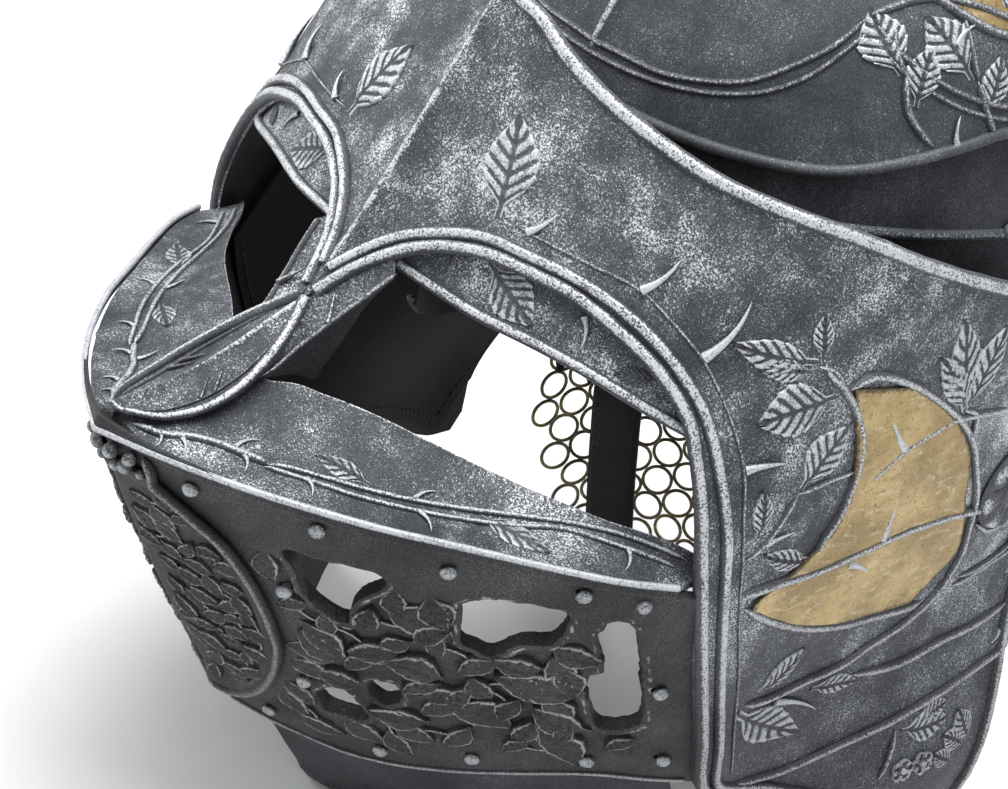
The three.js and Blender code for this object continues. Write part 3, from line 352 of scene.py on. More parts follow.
# ------------------------------------------------------------------ materials
class Shader:
    """Builds a procedural material; values may be numbers or node outputs."""
    def __init__(s, name):
        s.m = bpy.data.materials.new(name); s.m.use_nodes = True; s.t = s.m.node_tree; s.t.nodes.clear()
        s.out = s.t.nodes.new("ShaderNodeOutputMaterial"); s.b = s.t.nodes.new("ShaderNodeBsdfPrincipled")
        s.t.links.new(s.b.outputs[0], s.out.inputs[0])
        s.co = s.t.nodes.new("ShaderNodeTexCoord").outputs["Object"]
    def put(s, sock, v):
        if isinstance(v, bpy.types.NodeSocket): s.t.links.new(v, sock)
        else: sock.default_value = v
    def math(s, op, a, b=0.0, clamp=False):
        n = s.t.nodes.new("ShaderNodeMath"); n.operation = op; n.use_clamp = clamp
        s.put(n.inputs[0], a); s.put(n.inputs[1], b); return n.outputs[0]
    def noise(s, scale, detail=2.0, rough=.5, stretch=None, dist=0.0):
        n = s.t.nodes.new("ShaderNodeTexNoise"); n.inputs["Scale"].default_value = scale; n.inputs["Detail"].default_value = detail
        n.inputs["Roughness"].default_value = rough; n.inputs["Distortion"].default_value = dist
        v = s.co
        if stretch:
            m = s.t.nodes.new("ShaderNodeMapping"); m.inputs["Scale"].default_value = stretch; s.t.links.new(v, m.inputs["Vector"]); v = m.outputs[0]
        s.t.links.new(v, n.inputs["Vector"]); return n.outputs["Fac"]
    def voronoi(s, scale, feature="F1", stretch=None):
        n = s.t.nodes.new("ShaderNodeTexVoronoi"); n.feature = feature; n.inputs["Scale"].default_value = scale
        v = s.co
        if stretch:
            m = s.t.nodes.new("ShaderNodeMapping"); m.inputs["Scale"].default_value = stretch; s.t.links.new(v, m.inputs["Vector"]); v = m.outputs[0]
        s.t.links.new(v, n.inputs["Vector"]); return n.outputs["Distance"]
    def step(s, v, lo, hi):
        n = s.t.nodes.new("ShaderNodeMapRange"); n.interpolation_type = "SMOOTHSTEP"; n.clamp = True
        s.put(n.inputs["Value"], v); s.put(n.inputs["From Min"], lo); s.put(n.inputs["From Max"], hi); return n.outputs["Result"]
    def mix(s, f, a, b):
        n = s.t.nodes.new("ShaderNodeMix"); n.data_type = "RGBA"; s.put(n.inputs["Factor"], f)
        for k, v in ((6, a), (7, b)):
            s.put(n.inputs[k], v if isinstance(v, bpy.types.NodeSocket) else (*v, 1.0))
        return n.outputs[2]
    def attr(s, name="wear"):
        n = s.t.nodes.new("ShaderNodeAttribute"); n.attribute_name = name; return n.outputs["Fac"]
    def bump(s, height, strength, dist, prev=None):
        n = s.t.nodes.new("ShaderNodeBump"); n.inputs["Strength"].default_value = strength; n.inputs["Distance"].default_value = dist
        s.t.links.new(height, n.inputs["Height"])
        if prev is not None: s.t.links.new(prev, n.inputs["Normal"])
        return n.outputs[0]
    def finish(s, color, rough, metal=0.0, normal=None, spec=.5):
        s.put(s.b.inputs["Base Color"], color); s.put(s.b.inputs["Roughness"], rough); s.b.inputs["Metallic"].default_value = metal
        s.b.inputs["Specular IOR Level"].default_value = spec
        if normal is not None: s.t.links.new(normal, s.b.inputs["Normal"])
        return s.m

def brushed_paint(name, dark, mid, light, speck=.5, patch=.5, metal=.35, rough=(.62, .42), pits=.5, edge=1.0, grain=1650, brush=.35, crown=(.48, .80, 1.45), haze=.36, low=1.0):
    """Dark gun-metal with silver dry-brushed on: solid on what stands proud, sponged speckle on the flats, and painted
    shade that darkens it toward the bottom.
    """
    s = Shader(name)
    w = s.attr()
    cloud = s.noise(28, 4, .6); cloud2 = s.noise(95, 3, .6)
    fine = s.noise(grain, 2.5, .65); finer = s.noise(grain * 2.1, 2, .6)
    hairs = s.noise(700, 3, .6, stretch=(1, 1, .35), dist=.4)
    base = s.mix(s.step(cloud, .3, .72), dark, mid)
    # sponge speckle: fine grains above a threshold that drifts across the piece
    dens = s.math("ADD", s.math("MULTIPLY", s.step(cloud, .36, .68), patch), s.math("MULTIPLY", s.step(cloud2, .38, .7), patch * .6))
    # painted shade: high goes from low at the bottom of the object up to 1 above 0.2 m, and the base is mixed toward a
    # quarter of the dark tone lower down
    z = s.t.nodes.new("ShaderNodeSeparateXYZ"); s.t.links.new(s.co, z.inputs[0])
    high = s.math("ADD", low, s.math("MULTIPLY", s.step(z.outputs[2], .04, .20), 1 - low))
    base = s.mix(high, tuple(.25 * c for c in dark), base)
    dens = s.math("MULTIPLY", dens, high)   # painted shade: the silver flecks thin out toward the bottom, along with the darker base
    thr = s.math("SUBTRACT", .70 - speck * .16, s.math("MULTIPLY", dens, .115))
    g = s.math("ADD", s.math("MULTIPLY", fine, .62), s.math("MULTIPLY", finer, .38))
    grains = s.math("SUBTRACT", g, thr)
    sp = s.step(grains, 0.0, .085)
    sp = s.math("MULTIPLY", sp, s.math("ADD", .5, s.math("MULTIPLY", dens, .5), clamp=True))
    # soft dusting under the grains
    dust = s.math("MULTIPLY", s.step(s.math("ADD", s.math("MULTIPLY", hairs, .5), s.math("MULTIPLY", g, .5)), .42, .72), s.math("MULTIPLY", dens, brush))
    tiny = s.noise(3300, 1.5, .7)
    dust = s.math("MAXIMUM", dust, s.math("MULTIPLY", s.step(tiny, .50, .68), s.math("ADD", haze * .35, s.math("MULTIPLY", dens, haze))), True)
    # worn crowns, broken by dark pits
    pit = s.step(s.math("ADD", s.math("MULTIPLY", g, .8), s.math("MULTIPLY", cloud2, .2)), .445, .485)
    ww = s.step(s.math("ADD", s.math("MULTIPLY", w, edge), s.math("MULTIPLY", s.math("SUBTRACT", g, .5), crown[2])), crown[0], crown[1])
    worn = s.math("MULTIPLY", ww, s.math("ADD", s.math("MULTIPLY", pit, pits), 1 - pits))
    # painted shade: the worn crowns are dimmer lower down too
    worn = s.math("MULTIPLY", worn, s.math("ADD", .45, s.math("MULTIPLY", high, .55)))
    amt = s.math("MAXIMUM", s.math("MAXIMUM", sp, dust), worn, True)
    col = s.mix(amt, base, light)
    r = s.math("ADD", rough[0], s.math("MULTIPLY", amt, rough[1] - rough[0]))
    r = s.math("ADD", r, s.math("MULTIPLY", s.math("SUBTRACT", cloud2, .5), .14), clamp=True)
    h = s.math("ADD", s.math("MULTIPLY", g, .7), s.math("MULTIPLY", s.noise(320, 3, .6), .5))
    n1 = s.bump(h, .35, .00035)
    return s.finish(col, r, metal, n1, .45)

# low= sets how deep the painted shade toward the bottom goes on each piece (1 is none)
M_VISOR = brushed_paint("blackened_steel", (.031, .035, .043), (.058, .063, .074), (.72, .74, .77), speck=.68, patch=.95, pits=.85, crown=(.58, .88, 1.45), low=.25)
M_SKULL = brushed_paint("skull_steel", (.032, .036, .044), (.053, .058, .069), (.56, .58, .61), speck=.52, patch=.5, pits=.85)
# the lames: a darker copy of the same steel, painted shade for plates that sit under the rolled edges above them
M_LAME_SHADED = brushed_paint("lame_steel", (.014, .0155, .0185), (.029, .0315, .037), (.55, .57, .60), speck=.24, patch=.40, rough=(.6, .45), brush=.2, haze=.3)
# the breath plate: a darker copy of the same steel with dimmer silver, painted shade for the low, down-facing plate
M_BREATH_SHADED = brushed_paint("breath_steel", (.016, .0165, .0175), (.034, .035, .037), (.36, .365, .37), speck=.34, patch=.42, rough=(.68, .5), edge=.92, brush=.25, crown=(.42, .9, .9))
M_BRIGHT = brushed_paint("bright_rim", (.040, .043, .049), (.075, .08, .086), (.62, .63, .65), speck=.5, patch=.4, pits=.94, rough=(.6, .42), metal=.25, crown=(.67, .95, 1.35), low=.2)
M_LEAF = brushed_paint("leaf_steel", (.034, .037, .045), (.058, .063, .072), (.60, .61, .64), speck=.45, patch=.35, pits=.55, rough=(.6, .42), metal=.25, crown=(.42, .80, .9), low=.35)
M_RIVET = brushed_paint("rivet_steel", (.05, .053, .057), (.11, .115, .12), (.36, .37, .375), speck=.8, patch=.9, pits=.95, rough=(.55, .40), metal=.5)
# near-black inside faces of every plate: painted shade for the inside of the helmet
M_INNER_SHADE = brushed_paint("inner_painted_shade", (.006, .006, .0065), (.011, .011, .012), (.06, .06, .062), speck=0, patch=.1, rough=(.7, .6), metal=.1, brush=.1, haze=.05)

def gilt_material():
    s = Shader("gilt"); w = s.attr()
    cloud = s.noise(45, 4, .6); g = s.noise(900, 3, .65); g2 = s.noise(2100, 2, .6)
    hair = s.noise(420, 4, .62, stretch=(.28, .28, 1.0), dist=.7)
    base = s.mix(s.step(cloud, .32, .7), (.33, .235, .10), (.60, .45, .22))
    pale = s.math("MULTIPLY", s.step(hair, .52, .68), s.step(g, .36, .6)); base = s.mix(s.math("MULTIPLY", pale, .75), base, (.74, .63, .42))
    dark = s.step(s.math("ADD", s.math("MULTIPLY", g2, .55), s.math("MULTIPLY", g, .45)), .545, .63)
    rim = s.math("SUBTRACT", 1.0, w, clamp=True)
    dk = s.math("MAXIMUM", s.math("MULTIPLY", dark, .8), s.math("MULTIPLY", s.step(s.math("ADD", rim, s.math("MULTIPLY", s.math("SUBTRACT", g, .5), 1.2)), .55, 1.0), .85), clamp=True)
    col = s.mix(dk, base, (.035, .030, .024))
    h = s.math("ADD", g, s.math("MULTIPLY", hair, .6))
    return s.finish(col, s.math("ADD", .50, s.math("MULTIPLY", cloud, .12)), .45, s.bump(h, .5, .0004), .45)
M_GILT = gilt_material()

def leather(name, dark, light, scale=520, rough=.62, fold=.4):
    s = Shader(name); v = s.voronoi(scale); v2 = s.voronoi(scale * 2.3); c = s.noise(60, 4, .6); c2 = s.noise(12, 3, .5)
    w = s.attr()
    grain = s.math("ADD", s.math("MULTIPLY", v, .65), s.math("MULTIPLY", v2, .35))
    amt = s.math("ADD", s.math("MULTIPLY", s.step(c, .3, .75), .5), s.math("MULTIPLY", s.step(w, .3, 1.0), .6), clamp=True)
    col = s.mix(amt, dark, light)
    n = s.bump(grain, .35, .0004); n = s.bump(c2, fold, .002, n)
    return s.finish(col, s.math("ADD", rough, s.math("MULTIPLY", s.math("SUBTRACT", c, .5), .2)), 0.0, n, .4)
M_BROWN = leather("brown_leather", (.0035, .0024, .0020), (.0095, .0065, .0052), rough=.8)
M_BLACK = leather("black_leather", (.0025, .0025, .0027), (.0085, .0085, .009), rough=.6)

def cloth_material():
    s = Shader("liner_cloth"); w = s.attr()
    wx = s.t.nodes.new("ShaderNodeTexWave"); wx.inputs["Scale"].default_value = 420; wx.inputs["Distortion"].default_value = 1.2; wx.bands_direction = "Z"; s.t.links.new(s.co, wx.inputs["Vector"])
    wy = s.t.nodes.new("ShaderNodeTexWave"); wy.inputs["Scale"].default_value = 420; wy.inputs["Distortion"].default_value = 1.2; wy.bands_direction = "DIAGONAL"; s.t.links.new(s.co, wy.inputs["Vector"])
    weave = s.math("MULTIPLY", wx.outputs["Fac"], wy.outputs["Fac"]); c = s.noise(40, 4, .6); f = s.noise(900, 2)
    col = s.mix(s.step(s.math("ADD", s.math("MULTIPLY", c, .6), s.math("MULTIPLY", f, .4)), .35, .65), (.045, .032, .022), (.095, .070, .048))
    col = s.mix(s.math("MULTIPLY", w, .8), col, (.17, .13, .09))
    m = s.finish(col, .92, 0.0, s.bump(weave, .5, .0005), .2)
    s.b.inputs["Sheen Weight"].default_value = .25
    return m
M_CLOTH = cloth_material()

def mail_material():
    s = Shader("mail_brass"); c = s.noise(80, 3); g = s.noise(1500, 2)
    col = s.mix(s.step(c, .35, .7), (.15, .13, .07), (.32, .28, .15)); col = s.mix(s.math("MULTIPLY", s.step(g, .56, .68), .45), col, (.34, .30, .18))
    return s.finish(col, s.math("ADD", .38, s.math("MULTIPLY", c, .2)), .6, s.bump(g, .2, .0001), .5)
M_MAIL = mail_material()
def pivot_material():
    return brushed_paint("pivot_steel", (.03, .031, .034), (.06, .062, .066), (.45, .46, .48), speck=.3, patch=.4, metal=.7, rough=(.5, .35), grain=900)
M_PIVOT = pivot_material()
def stitch_material():
    s = Shader("waxed_thread"); c = s.noise(2400, 2)
    return s.finish(s.mix(s.step(c, .35, .65), (.03, .022, .015), (.075, .058, .040)), .7, 0.0, s.bump(c, .4, .0002), .3)
M_THREAD = stitch_material()

def piece(o, body, nodes):
    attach(o, body)
    if nodes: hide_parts(*nodes)
    return o

# ------------------------------------------------------------------ holes in a plate
def in_poly(x, y, poly):
    inside = np.zeros(x.shape, bool); n = len(poly)
    for i in range(n):
        x0, y0 = poly[i]; x1, y1 = poly[(i + 1) % n]
        c = ((y0 > y) != (y1 > y)) & (x < (x1 - x0) * (y - y0) / ((y1 - y0) or 1e-12) + x0)
        inside ^= c
    return inside
def near_poly(x, y, poly):
    """Distance to a closed outline and the nearest point on it."""
    best = np.full(x.shape, 1e9); nx, ny = np.zeros(x.shape), np.zeros(x.shape); n = len(poly)
    for i in range(n):
        x0, y0 = poly[i]; x1, y1 = poly[(i + 1) % n]; dx, dy = x1 - x0, y1 - y0; L = dx * dx + dy * dy + 1e-12
        t = np.clip(((x - x0) * dx + (y - y0) * dy) / L, 0, 1); px, py = x0 + t * dx, y0 + t * dy; d = np.hypot(x - px, y - py)
        m = d < best; best = np.where(m, d, best); nx = np.where(m, px, nx); ny = np.where(m, py, ny)
    return best, nx, ny
def cut_holes(A, B, faces, polys, near=9.0):
    """Cuts outlines out of a grid by moving the points just inside onto the outline. Returns A, B, faces and the distance to the nearest hole."""
    A, B = A.reshape(-1).copy(), B.reshape(-1).copy(); dist = np.full(A.shape, 1e3); inside = np.zeros(A.shape, bool)
    for poly in polys:
        lo, hi = poly.min(0) - near, poly.max(0) + near
        k = np.where((A > lo[0]) & (A < hi[0]) & (B > lo[1]) & (B < hi[1]))[0]
        if not len(k): continue
        d, nx, ny = near_poly(A[k], B[k], poly); ins = in_poly(A[k], B[k], poly)
        dist[k] = np.minimum(dist[k], np.where(ins, 0, d)); kk = k[ins]; inside[kk] = True
        A[kk], B[kk] = nx[ins], ny[ins]
    faces = faces[~inside[faces].all(1)]
    return A, B, faces, dist
def compact(faces, *arrays):
    used = np.unique(faces); m = np.full(used.max() + 1, -1); m[used] = np.arange(len(used))
    return (m[faces],) + tuple(a[used] for a in arrays)
def rough_outline(pts, seed, amp=.35, step=.8):
    q = spline(np.array(pts, float), step=step, closed=True)[:-1]
    c = q.mean(0); d = unit(q - c); s = np.arange(len(q)) * .8
    return q + d * (amp * (noise2(s, np.full(len(q), .3), seed) - .5) * 2)[:, None]

# ------------------------------------------------------------------ visor mask
OUTER = [[1.13, 36.19], [6.38, 44.22], [12.83, 50.56], [21.43, 55.35], [32.5, 59.38], [45.55, 60.2], [58.26, 60.09], [71.76, 58.0], [86.72, 52.95], [98.84, 46.18], [109.96, 37.58], [122.36, 25.29], [134.06, 12.62], [146.04, -1.38], [160.37, -16.96], [178.46, -34.6], [210.1, -62.58], [234.43, -83.2], [262, -89.5], [300, -98.5], [328, -106.5], [350, -112.5]]
BORDER = [[36, 65.4], [42.5, 65.1], [58.9, 64.4], [74.9, 63.4], [86.7, 58.9], [97.3, 53.5], [111.6, 42.2], [125.2, 30], [135.8, 17.1], [147.3, 4], [162.4, -12.5], [188.8, -36.8], [211, -57.3], [238, -80.9]]

def flat_grid(a, b):
    A, B = np.meshgrid(a, b, indexing="ij"); return A, B

def wing_hole():
    """The bolt hole of the near wing, as an outline in surface coordinates."""
    t = np.linspace(0, 2 * np.pi, 25)[:-1]
    us = np.linspace(200, 320, 600); y = visor(us, PIVOT_Z)[:, 1]; u0 = np.interp(PIVOT_Y, y, us)
    return np.stack([u0 + 4.6 * np.cos(t), PIVOT_Z + 4.6 * np.sin(t)], -1), u0
HOLE, U_PIVOT = wing_hole()

def visor_mask():
    M = Mesh()
    us = np.concatenate([-np.arange(364, 0, -1.6)[:], [-.8, 0, .8], np.arange(364, 0, -1.6)[::-1]]); us = np.unique(np.round(us, 3))
    v = np.linspace(0, 1, 61); U_, V_ = np.meshgrid(us, v, indexing="ij"); a = np.abs(U_)
    Z = ZLOW(a) + (ZTOP(a) - ZLOW(a)) * V_
    g = grid_faces(len(us), len(v)); A, B, g, _ = cut_holes(U_, Z, g, [HOLE, HOLE * [-1, 1]], 6)
    ridge = np.exp(-(A / 1.7) ** 2) * sm((B - 30) / 12)
    wob = .35 * (noise2(A * .06 + 60, B * .07 + 60, 11) - .5) + .16 * (noise2(A * .35 + 99, B * .35 + 99, 12) - .5)
    h = 1.1 * ridge + wob * sm((np.abs(A) - 2) / 10)
    P = lift(visor, A, B, h); Q = lift(visor, A, B, np.full(A.shape, -2.6)); P[:, 0] = np.where(np.abs(A) < 1e-6, 0, P[:, 0])
    w = np.clip(np.exp(-(A / 1.25) ** 2) * 1.0 * sm((B - 30) / 10) * (.82 + .5 * (noise2(B * .6, A * 0 + 3, 4) - .4)), 0, 1)
    low = ZLOW(np.abs(A)); w = np.maximum(w, .25 * np.exp(-((np.abs(A) - 0) / 6) ** 2) * sm((B - 34) / 20))
    g, P, Q, w = compact(g, P, Q, w)
    plate(M, P, Q, g, w, 0, 1)
    return M
o = visor_mask().build("visor_mask_shell", [M_VISOR, M_INNER_SHADE], sharp=50)
piece(o, "visor", ["visor_mask"])

# rolls, vines, leaves and thorns of the visor
VISOR_VINES = [  # curve, radius, bend to a point at start and end
    ([[139.47, 51.79], [140.76, 53.19], [143.66, 55.7], [148.37, 56.2], [156.87, 54.83], [169.16, 51.33], [185.26, 45.29], [201.41, 38.56], [216.67, 30.71], [230.12, 21.45], [247.24, 8.36], [258.04, -2.97], [268.35, -13.66], [271.31, -21.88], [269.62, -28.49], [260.88, -34.95], [250.7, -39.13], [242.84, -44.2], [228.37, -47.36], [217.62, -49.5], [206.51, -49.37]], 1.35, 6, 3),
    ([[126.27, 60.02], [129.74, 56.83], [136.49, 53.38], [143.53, 49.01], [150.94, 43.49], [158.1, 37.57], [164.8, 29.79], [168.86, 22.85], [172.49, 15.22], [173.56, 8.09], [176.27, 1.82]], 1.25, 8, 4),
    ([[156.34, -6.44], [169.0, -3.93], [183.43, -2.27], [197.76, 0.8], [212.74, 3.8], [231.08, 5.03], [253.74, 4.34], [266, 3.2]], 1.5, 4, 12),
    ([[173.15, 23.53], [175.91, 27.26], [179.15, 31.8], [184.03, 35.29], [189.87, 38.11], [193.74, 40.01], [201.13, 40.35], [223.48, 40.39]], 1.15, 4, 6),
    ([[161.71, -10.62], [179.33, -16.99], [198.24, -22.47], [222.18, -26.79], [242.42, -27.67], [258.54, -28.25], [265.39, -27.68]], 1.55, 6, 8),
    ([[279.96, -26.14], [306.82, -19.54], [330, -12]], 1.1, 5, 12),
    ([[253.88, -49.35], [274.78, -48.7], [290.88, -44.93], [312.01, -42.86], [329.52, -39.86]], 1.4, 10, 10),
    ([[243.31, -85.78], [260.83, -83.51], [275.08, -75.31], [288.72, -69.0], [301.61, -63.3], [318.43, -58.49], [342.46, -55.13]], 1.4, 8, 8),
    ([[294.9, -72.2], [300.5, -82], [304.71, -90.46]], 1.1, 5, 5),
    ([[268.43, -6.28], [275.02, 2.17], [290, -4], [302.8, -16.68], [292, -22], [280.12, -23.33]], 1.0, 5, 5),
    ([[148.75, 23.33], [150.19, 9.41], [147.8, 4.48]], .8, 3, 3),
    ([[148.75, 23.33], [158, 27], [165.5, 28.8]], .8, 3, 3),
    ([[125.5, 58], [131, 57.4], [138, 53.2]], .8, 3, 3),
    ([[197.65, 42.8], [205, 41], [214, 33]], 1.0, 3, 3),
    ([[223.48, 40.39], [245, 44], [262, 52]], 1.2, 3, 10),
    ([[262, -2], [276, -6], [300, 6], [308, 18]], 1.1, 3, 10),
]
VISOR_LEAVES = [  # base, tip, width
    ([32.73, 64.6], [23.39, 88.74], .27), ([125.14, 59.06], [101.49, 59.14], .17), ([125.23, 56.35], [111.61, 54.43], .2), ([126.17, 59.73], [119.17, 71.32], .22),
    ([136.99, 50.63], [119.83, 41.09], .29), ([148.38, 24.47], [147.8, 42.49], .3), ([145.99, 10.85], [135.38, 24.82], .2), ([174.27, 2.11], [153.03, 5.75], .16),
    ([207.62, -45.78], [212.75, -32.19], .24), ([238.44, -51.38], [258.68, -51.39], .16), ([206.32, -52.22], [251.46, -67.69], .16), ([197.65, 42.8], [168.11, 71.57], .19),
    ([197.65, 42.8], [167.7, 60.87], .16), ([197.65, 42.8], [190.58, 68.52], .25), ([230, 47], [222, 64], .27), ([246, 46], [256, 62], .27),
    ([318, -30], [334, -20], .27), ([303, 4], [318, -4], .27), ([330, -53], [346, -44], .25), ([302.1, -69.9], [312, -64.9], .3), ([297.9, -72.7], [316.1, -70], .26), ([338, -81.5], [321.8, -69.3], .3), ([336, -82.5], [320.6, -77], .3), ([334, -87], [321.6, -83.2], .3)]
VISOR_THORNS = [([42.08, 65.1], [46.5, 71.9], 1.3), ([75.14, 63.6], [79.6, 73.4], 1.5), ([97.34, 53.8], [100.2, 69.9], 1.7), ([125.79, 29.76], [136.04, 32.24], 1.5), ([179.14, 34.1], [161.06, 45.54], 1.6),
    ([204.84, 3.9], [196.86, 16.92], 1.6), ([196.3, -2.61], [214.99, -9.4], 1.6), ([222.56, -52.03], [250.28, -60.08], 1.5), ([150.5, 9], [158.5, 12], 1.0)]

def visor_ornament():
    M = Mesh()
    def roll(pts, r, **k):
        P, N = along(visor, pts, step=k.pop("step", 1.4)); tube(M, P, N, r, **k)
    inner = [[u, float(ZLOW(u)) + 1.2] for u in (2.1, 6.9, 14.3, 22.6, 35.6, 48.5, 61.4, 75.9, 89.2, 103.2, 112.9, 122.9, 133.1, 146, 168.2, 198.3, 223.2, 240, 268, 300, 328, 352, 362.5)]
    inner[0] = [2.0, 30.2]
    roll(inner, 1.95, rise=-.05, flat=1.0, sides=14, top=1.0, low=.12, seed=21)
    roll(OUTER, 1.75, rise=.15, sides=14, top=1.05, low=.12, seed=22)
    top = [[0.6, 115.6], [6.18, 113.4], [13.9, 111.5], [27.53, 105.4], [45.16, 100.1], [59.97, 96.6], [78.24, 93.3], [98.86, 91.88], [120.13, 89.99], [142.0, 86.02], [179.36, 79.6]]
    top += [[u, float(ZTOP(u)) - .6] for u in (215, 245, 262, 276, 292, 304, 316, 328, 340, 352, 362)]
    roll(top, 2.15, rise=.05, sides=14, top=1.08, low=.15, seed=23)
    roll(BORDER, .55, rise=.1, sides=8, top=.85, low=.3, taper=(8, 8), seed=24)
    for pts, r, a, b in VISOR_VINES: roll(pts, r, rise=.25, sides=10, top=.92, low=.2, taper=(a, b), seed=25)
    for k, (b, t, w) in enumerate(VISOR_LEAVES): leaf(M, visor, b, t, w * 1.08, h=1.3, teeth=6, bend=.03 if k % 2 else -.03, mat=1)
    for k, (b, t, r) in enumerate(VISOR_THORNS): thorn(M, visor, b, t, r, hook=-.08 if k < 3 else .06, top=1.0, mat=1)
    flower(M, visor, (311, -87), 4.2, turn=.4, mat=1); flower(M, visor, (317.7, -85.2), 4.2, turn=.9, mat=1); flower(M, visor, (336, -40), 5, turn=.2)
    return M.mirrored()
o = visor_ornament().build("visor_vines_and_rolls", [M_BRIGHT, M_LEAF], sharp=70)
piece(o, "visor", [])

def eyelid():
    M = Mesh()
    us = np.linspace(14, 112.9, 100); v = np.linspace(0, 1, 17); U_, V_ = np.meshgrid(us, v, indexing="ij")
    Z = LIDLOW(U_) + (LIDTOP(U_) - LIDLOW(U_)) * V_
    wob = .2 * (noise2(U_ * .2 + 9, Z * .2 + 50, 31) - .5)
    P = lift(visor, U_, Z, -3.8 + wob); Q = lift(visor, U_, Z, np.full(U_.shape, -6.0))
    plate(M, P.reshape(-1, 3), Q.reshape(-1, 3), grid_faces(100, 17), .12 + 0 * U_.reshape(-1), 0, 1)
    lid = lambda a, b: lift(visor, a, b, np.full(np.shape(a + b), -3.8))
    us = np.linspace(14.3, 112, 60); q = np.stack([us, LIDLOW(us) + 1.3], -1)
    P, N = along(lid, q, 1.3); tube(M, P, N, 1.6, rise=-.05, sides=12, top=.98, low=.15, seed=32, mat=2)
    leaf(M, lid, [36.03, 54.6], [55.5, 45.6], .30, h=1.1, mat=3, top=.9); thorn(M, lid, [65.75, 52.5], [69.36, 45.2], 1.1, mat=3, top=.8)
    thorn(M, lid, [24, 53.5], [26.4, 46.5], .9, mat=2, top=.5); leaf(M, lid, [91, 45.5], [80, 43.3], .2, h=.9, mat=3, top=.5)
    return M
L = eyelid(); mats = [M_VISOR, M_INNER_SHADE, M_BRIGHT, M_LEAF]
piece(L.build("eyelid_left_shell", mats, sharp=50), "visor", ["eyelid_left"])
piece(L.flipped().build("eyelid_right_shell", mats, sharp=50), "visor", ["eyelid_right"])

_shelf = shelf
def shelf(x, y):
    p = np.array(_shelf(x, y), float); a = np.abs(p[..., 0]); p[..., 2] -= 3.0 * np.exp(-a / 28) * np.exp(-((p[..., 1] - YEQ(a)) / 6) ** 2); return p
# ------------------------------------------------------------------ nose bar
NOSE_R = np.array([[0, 2.5, 2.8], [0, 9.8, 3.9], [0, 15.5, 5.3], [0, 24.6, 9.1], [0, 35, 14.8], [0, 44, 20.7], [0, 50.5, 25], [0, 54.9, 27.9]])
NOSE_E = np.array([[1.6, 3.1, 1.5], [5.9, 8.6, 1.2], [8.6, 14.2, 1.7], [10.6, 23, 4.3], [10.6, 32.5, 9.4], [8, 42.3, 16.6], [4.2, 49.8, 23], [.9, 54.6, 27.5]])
SKIRT = np.array([.1, .1, .2, .8, 1.9, 2.3, 1.8, .5])
FLANK_T = np.array([[9.8, 35.2, 10.6], [7.6, 42.4, 15.9], [3.9, 49.8, 22.3], [.8, 54.2, 26.6], [2.8, 57.9, 30.6], [6.2, 62.4, 36.4], [9.9, 66.5, 41.2], [13.6, 69.3, 44.8]])
FLANK_B = np.array([[9.6, 38.6, 10.6], [8.9, 43.6, 12.6], [8.6, 47.6, 16], [9.2, 50.6, 19.4], [10.2, 53.8, 23.1], [12.2, 58.8, 29.6], [14, 62.5, 34.4], [16.2, 68.4, 41.6]])
FLANK_C = np.array([[8.4, 41.6, 9.6], [6.6, 53, 8.2], [6.2, 61.1, 5.6], [7, 62, 9.4], [8, 62.9, 13.2], [10.2, 63.9, 21.2], [12.8, 65.2, 31], [15.8, 69.8, 41.2]])
def rail(T, n, step=None):
    """A smooth curve through the rows of a table, at n even parameters."""
    k = np.linspace(0, len(T) - 1, n); i = np.clip(k.astype(int), 0, len(T) - 2); f = (k - i)[:, None]
    m = np.gradient(T, axis=0); a, b = T[i], T[i + 1]
    return (2 * f ** 3 - 3 * f ** 2 + 1) * a + (f ** 3 - 2 * f ** 2 + f) * m[i] + (-2 * f ** 3 + 3 * f ** 2) * b + (f ** 3 - f ** 2) * m[i + 1]
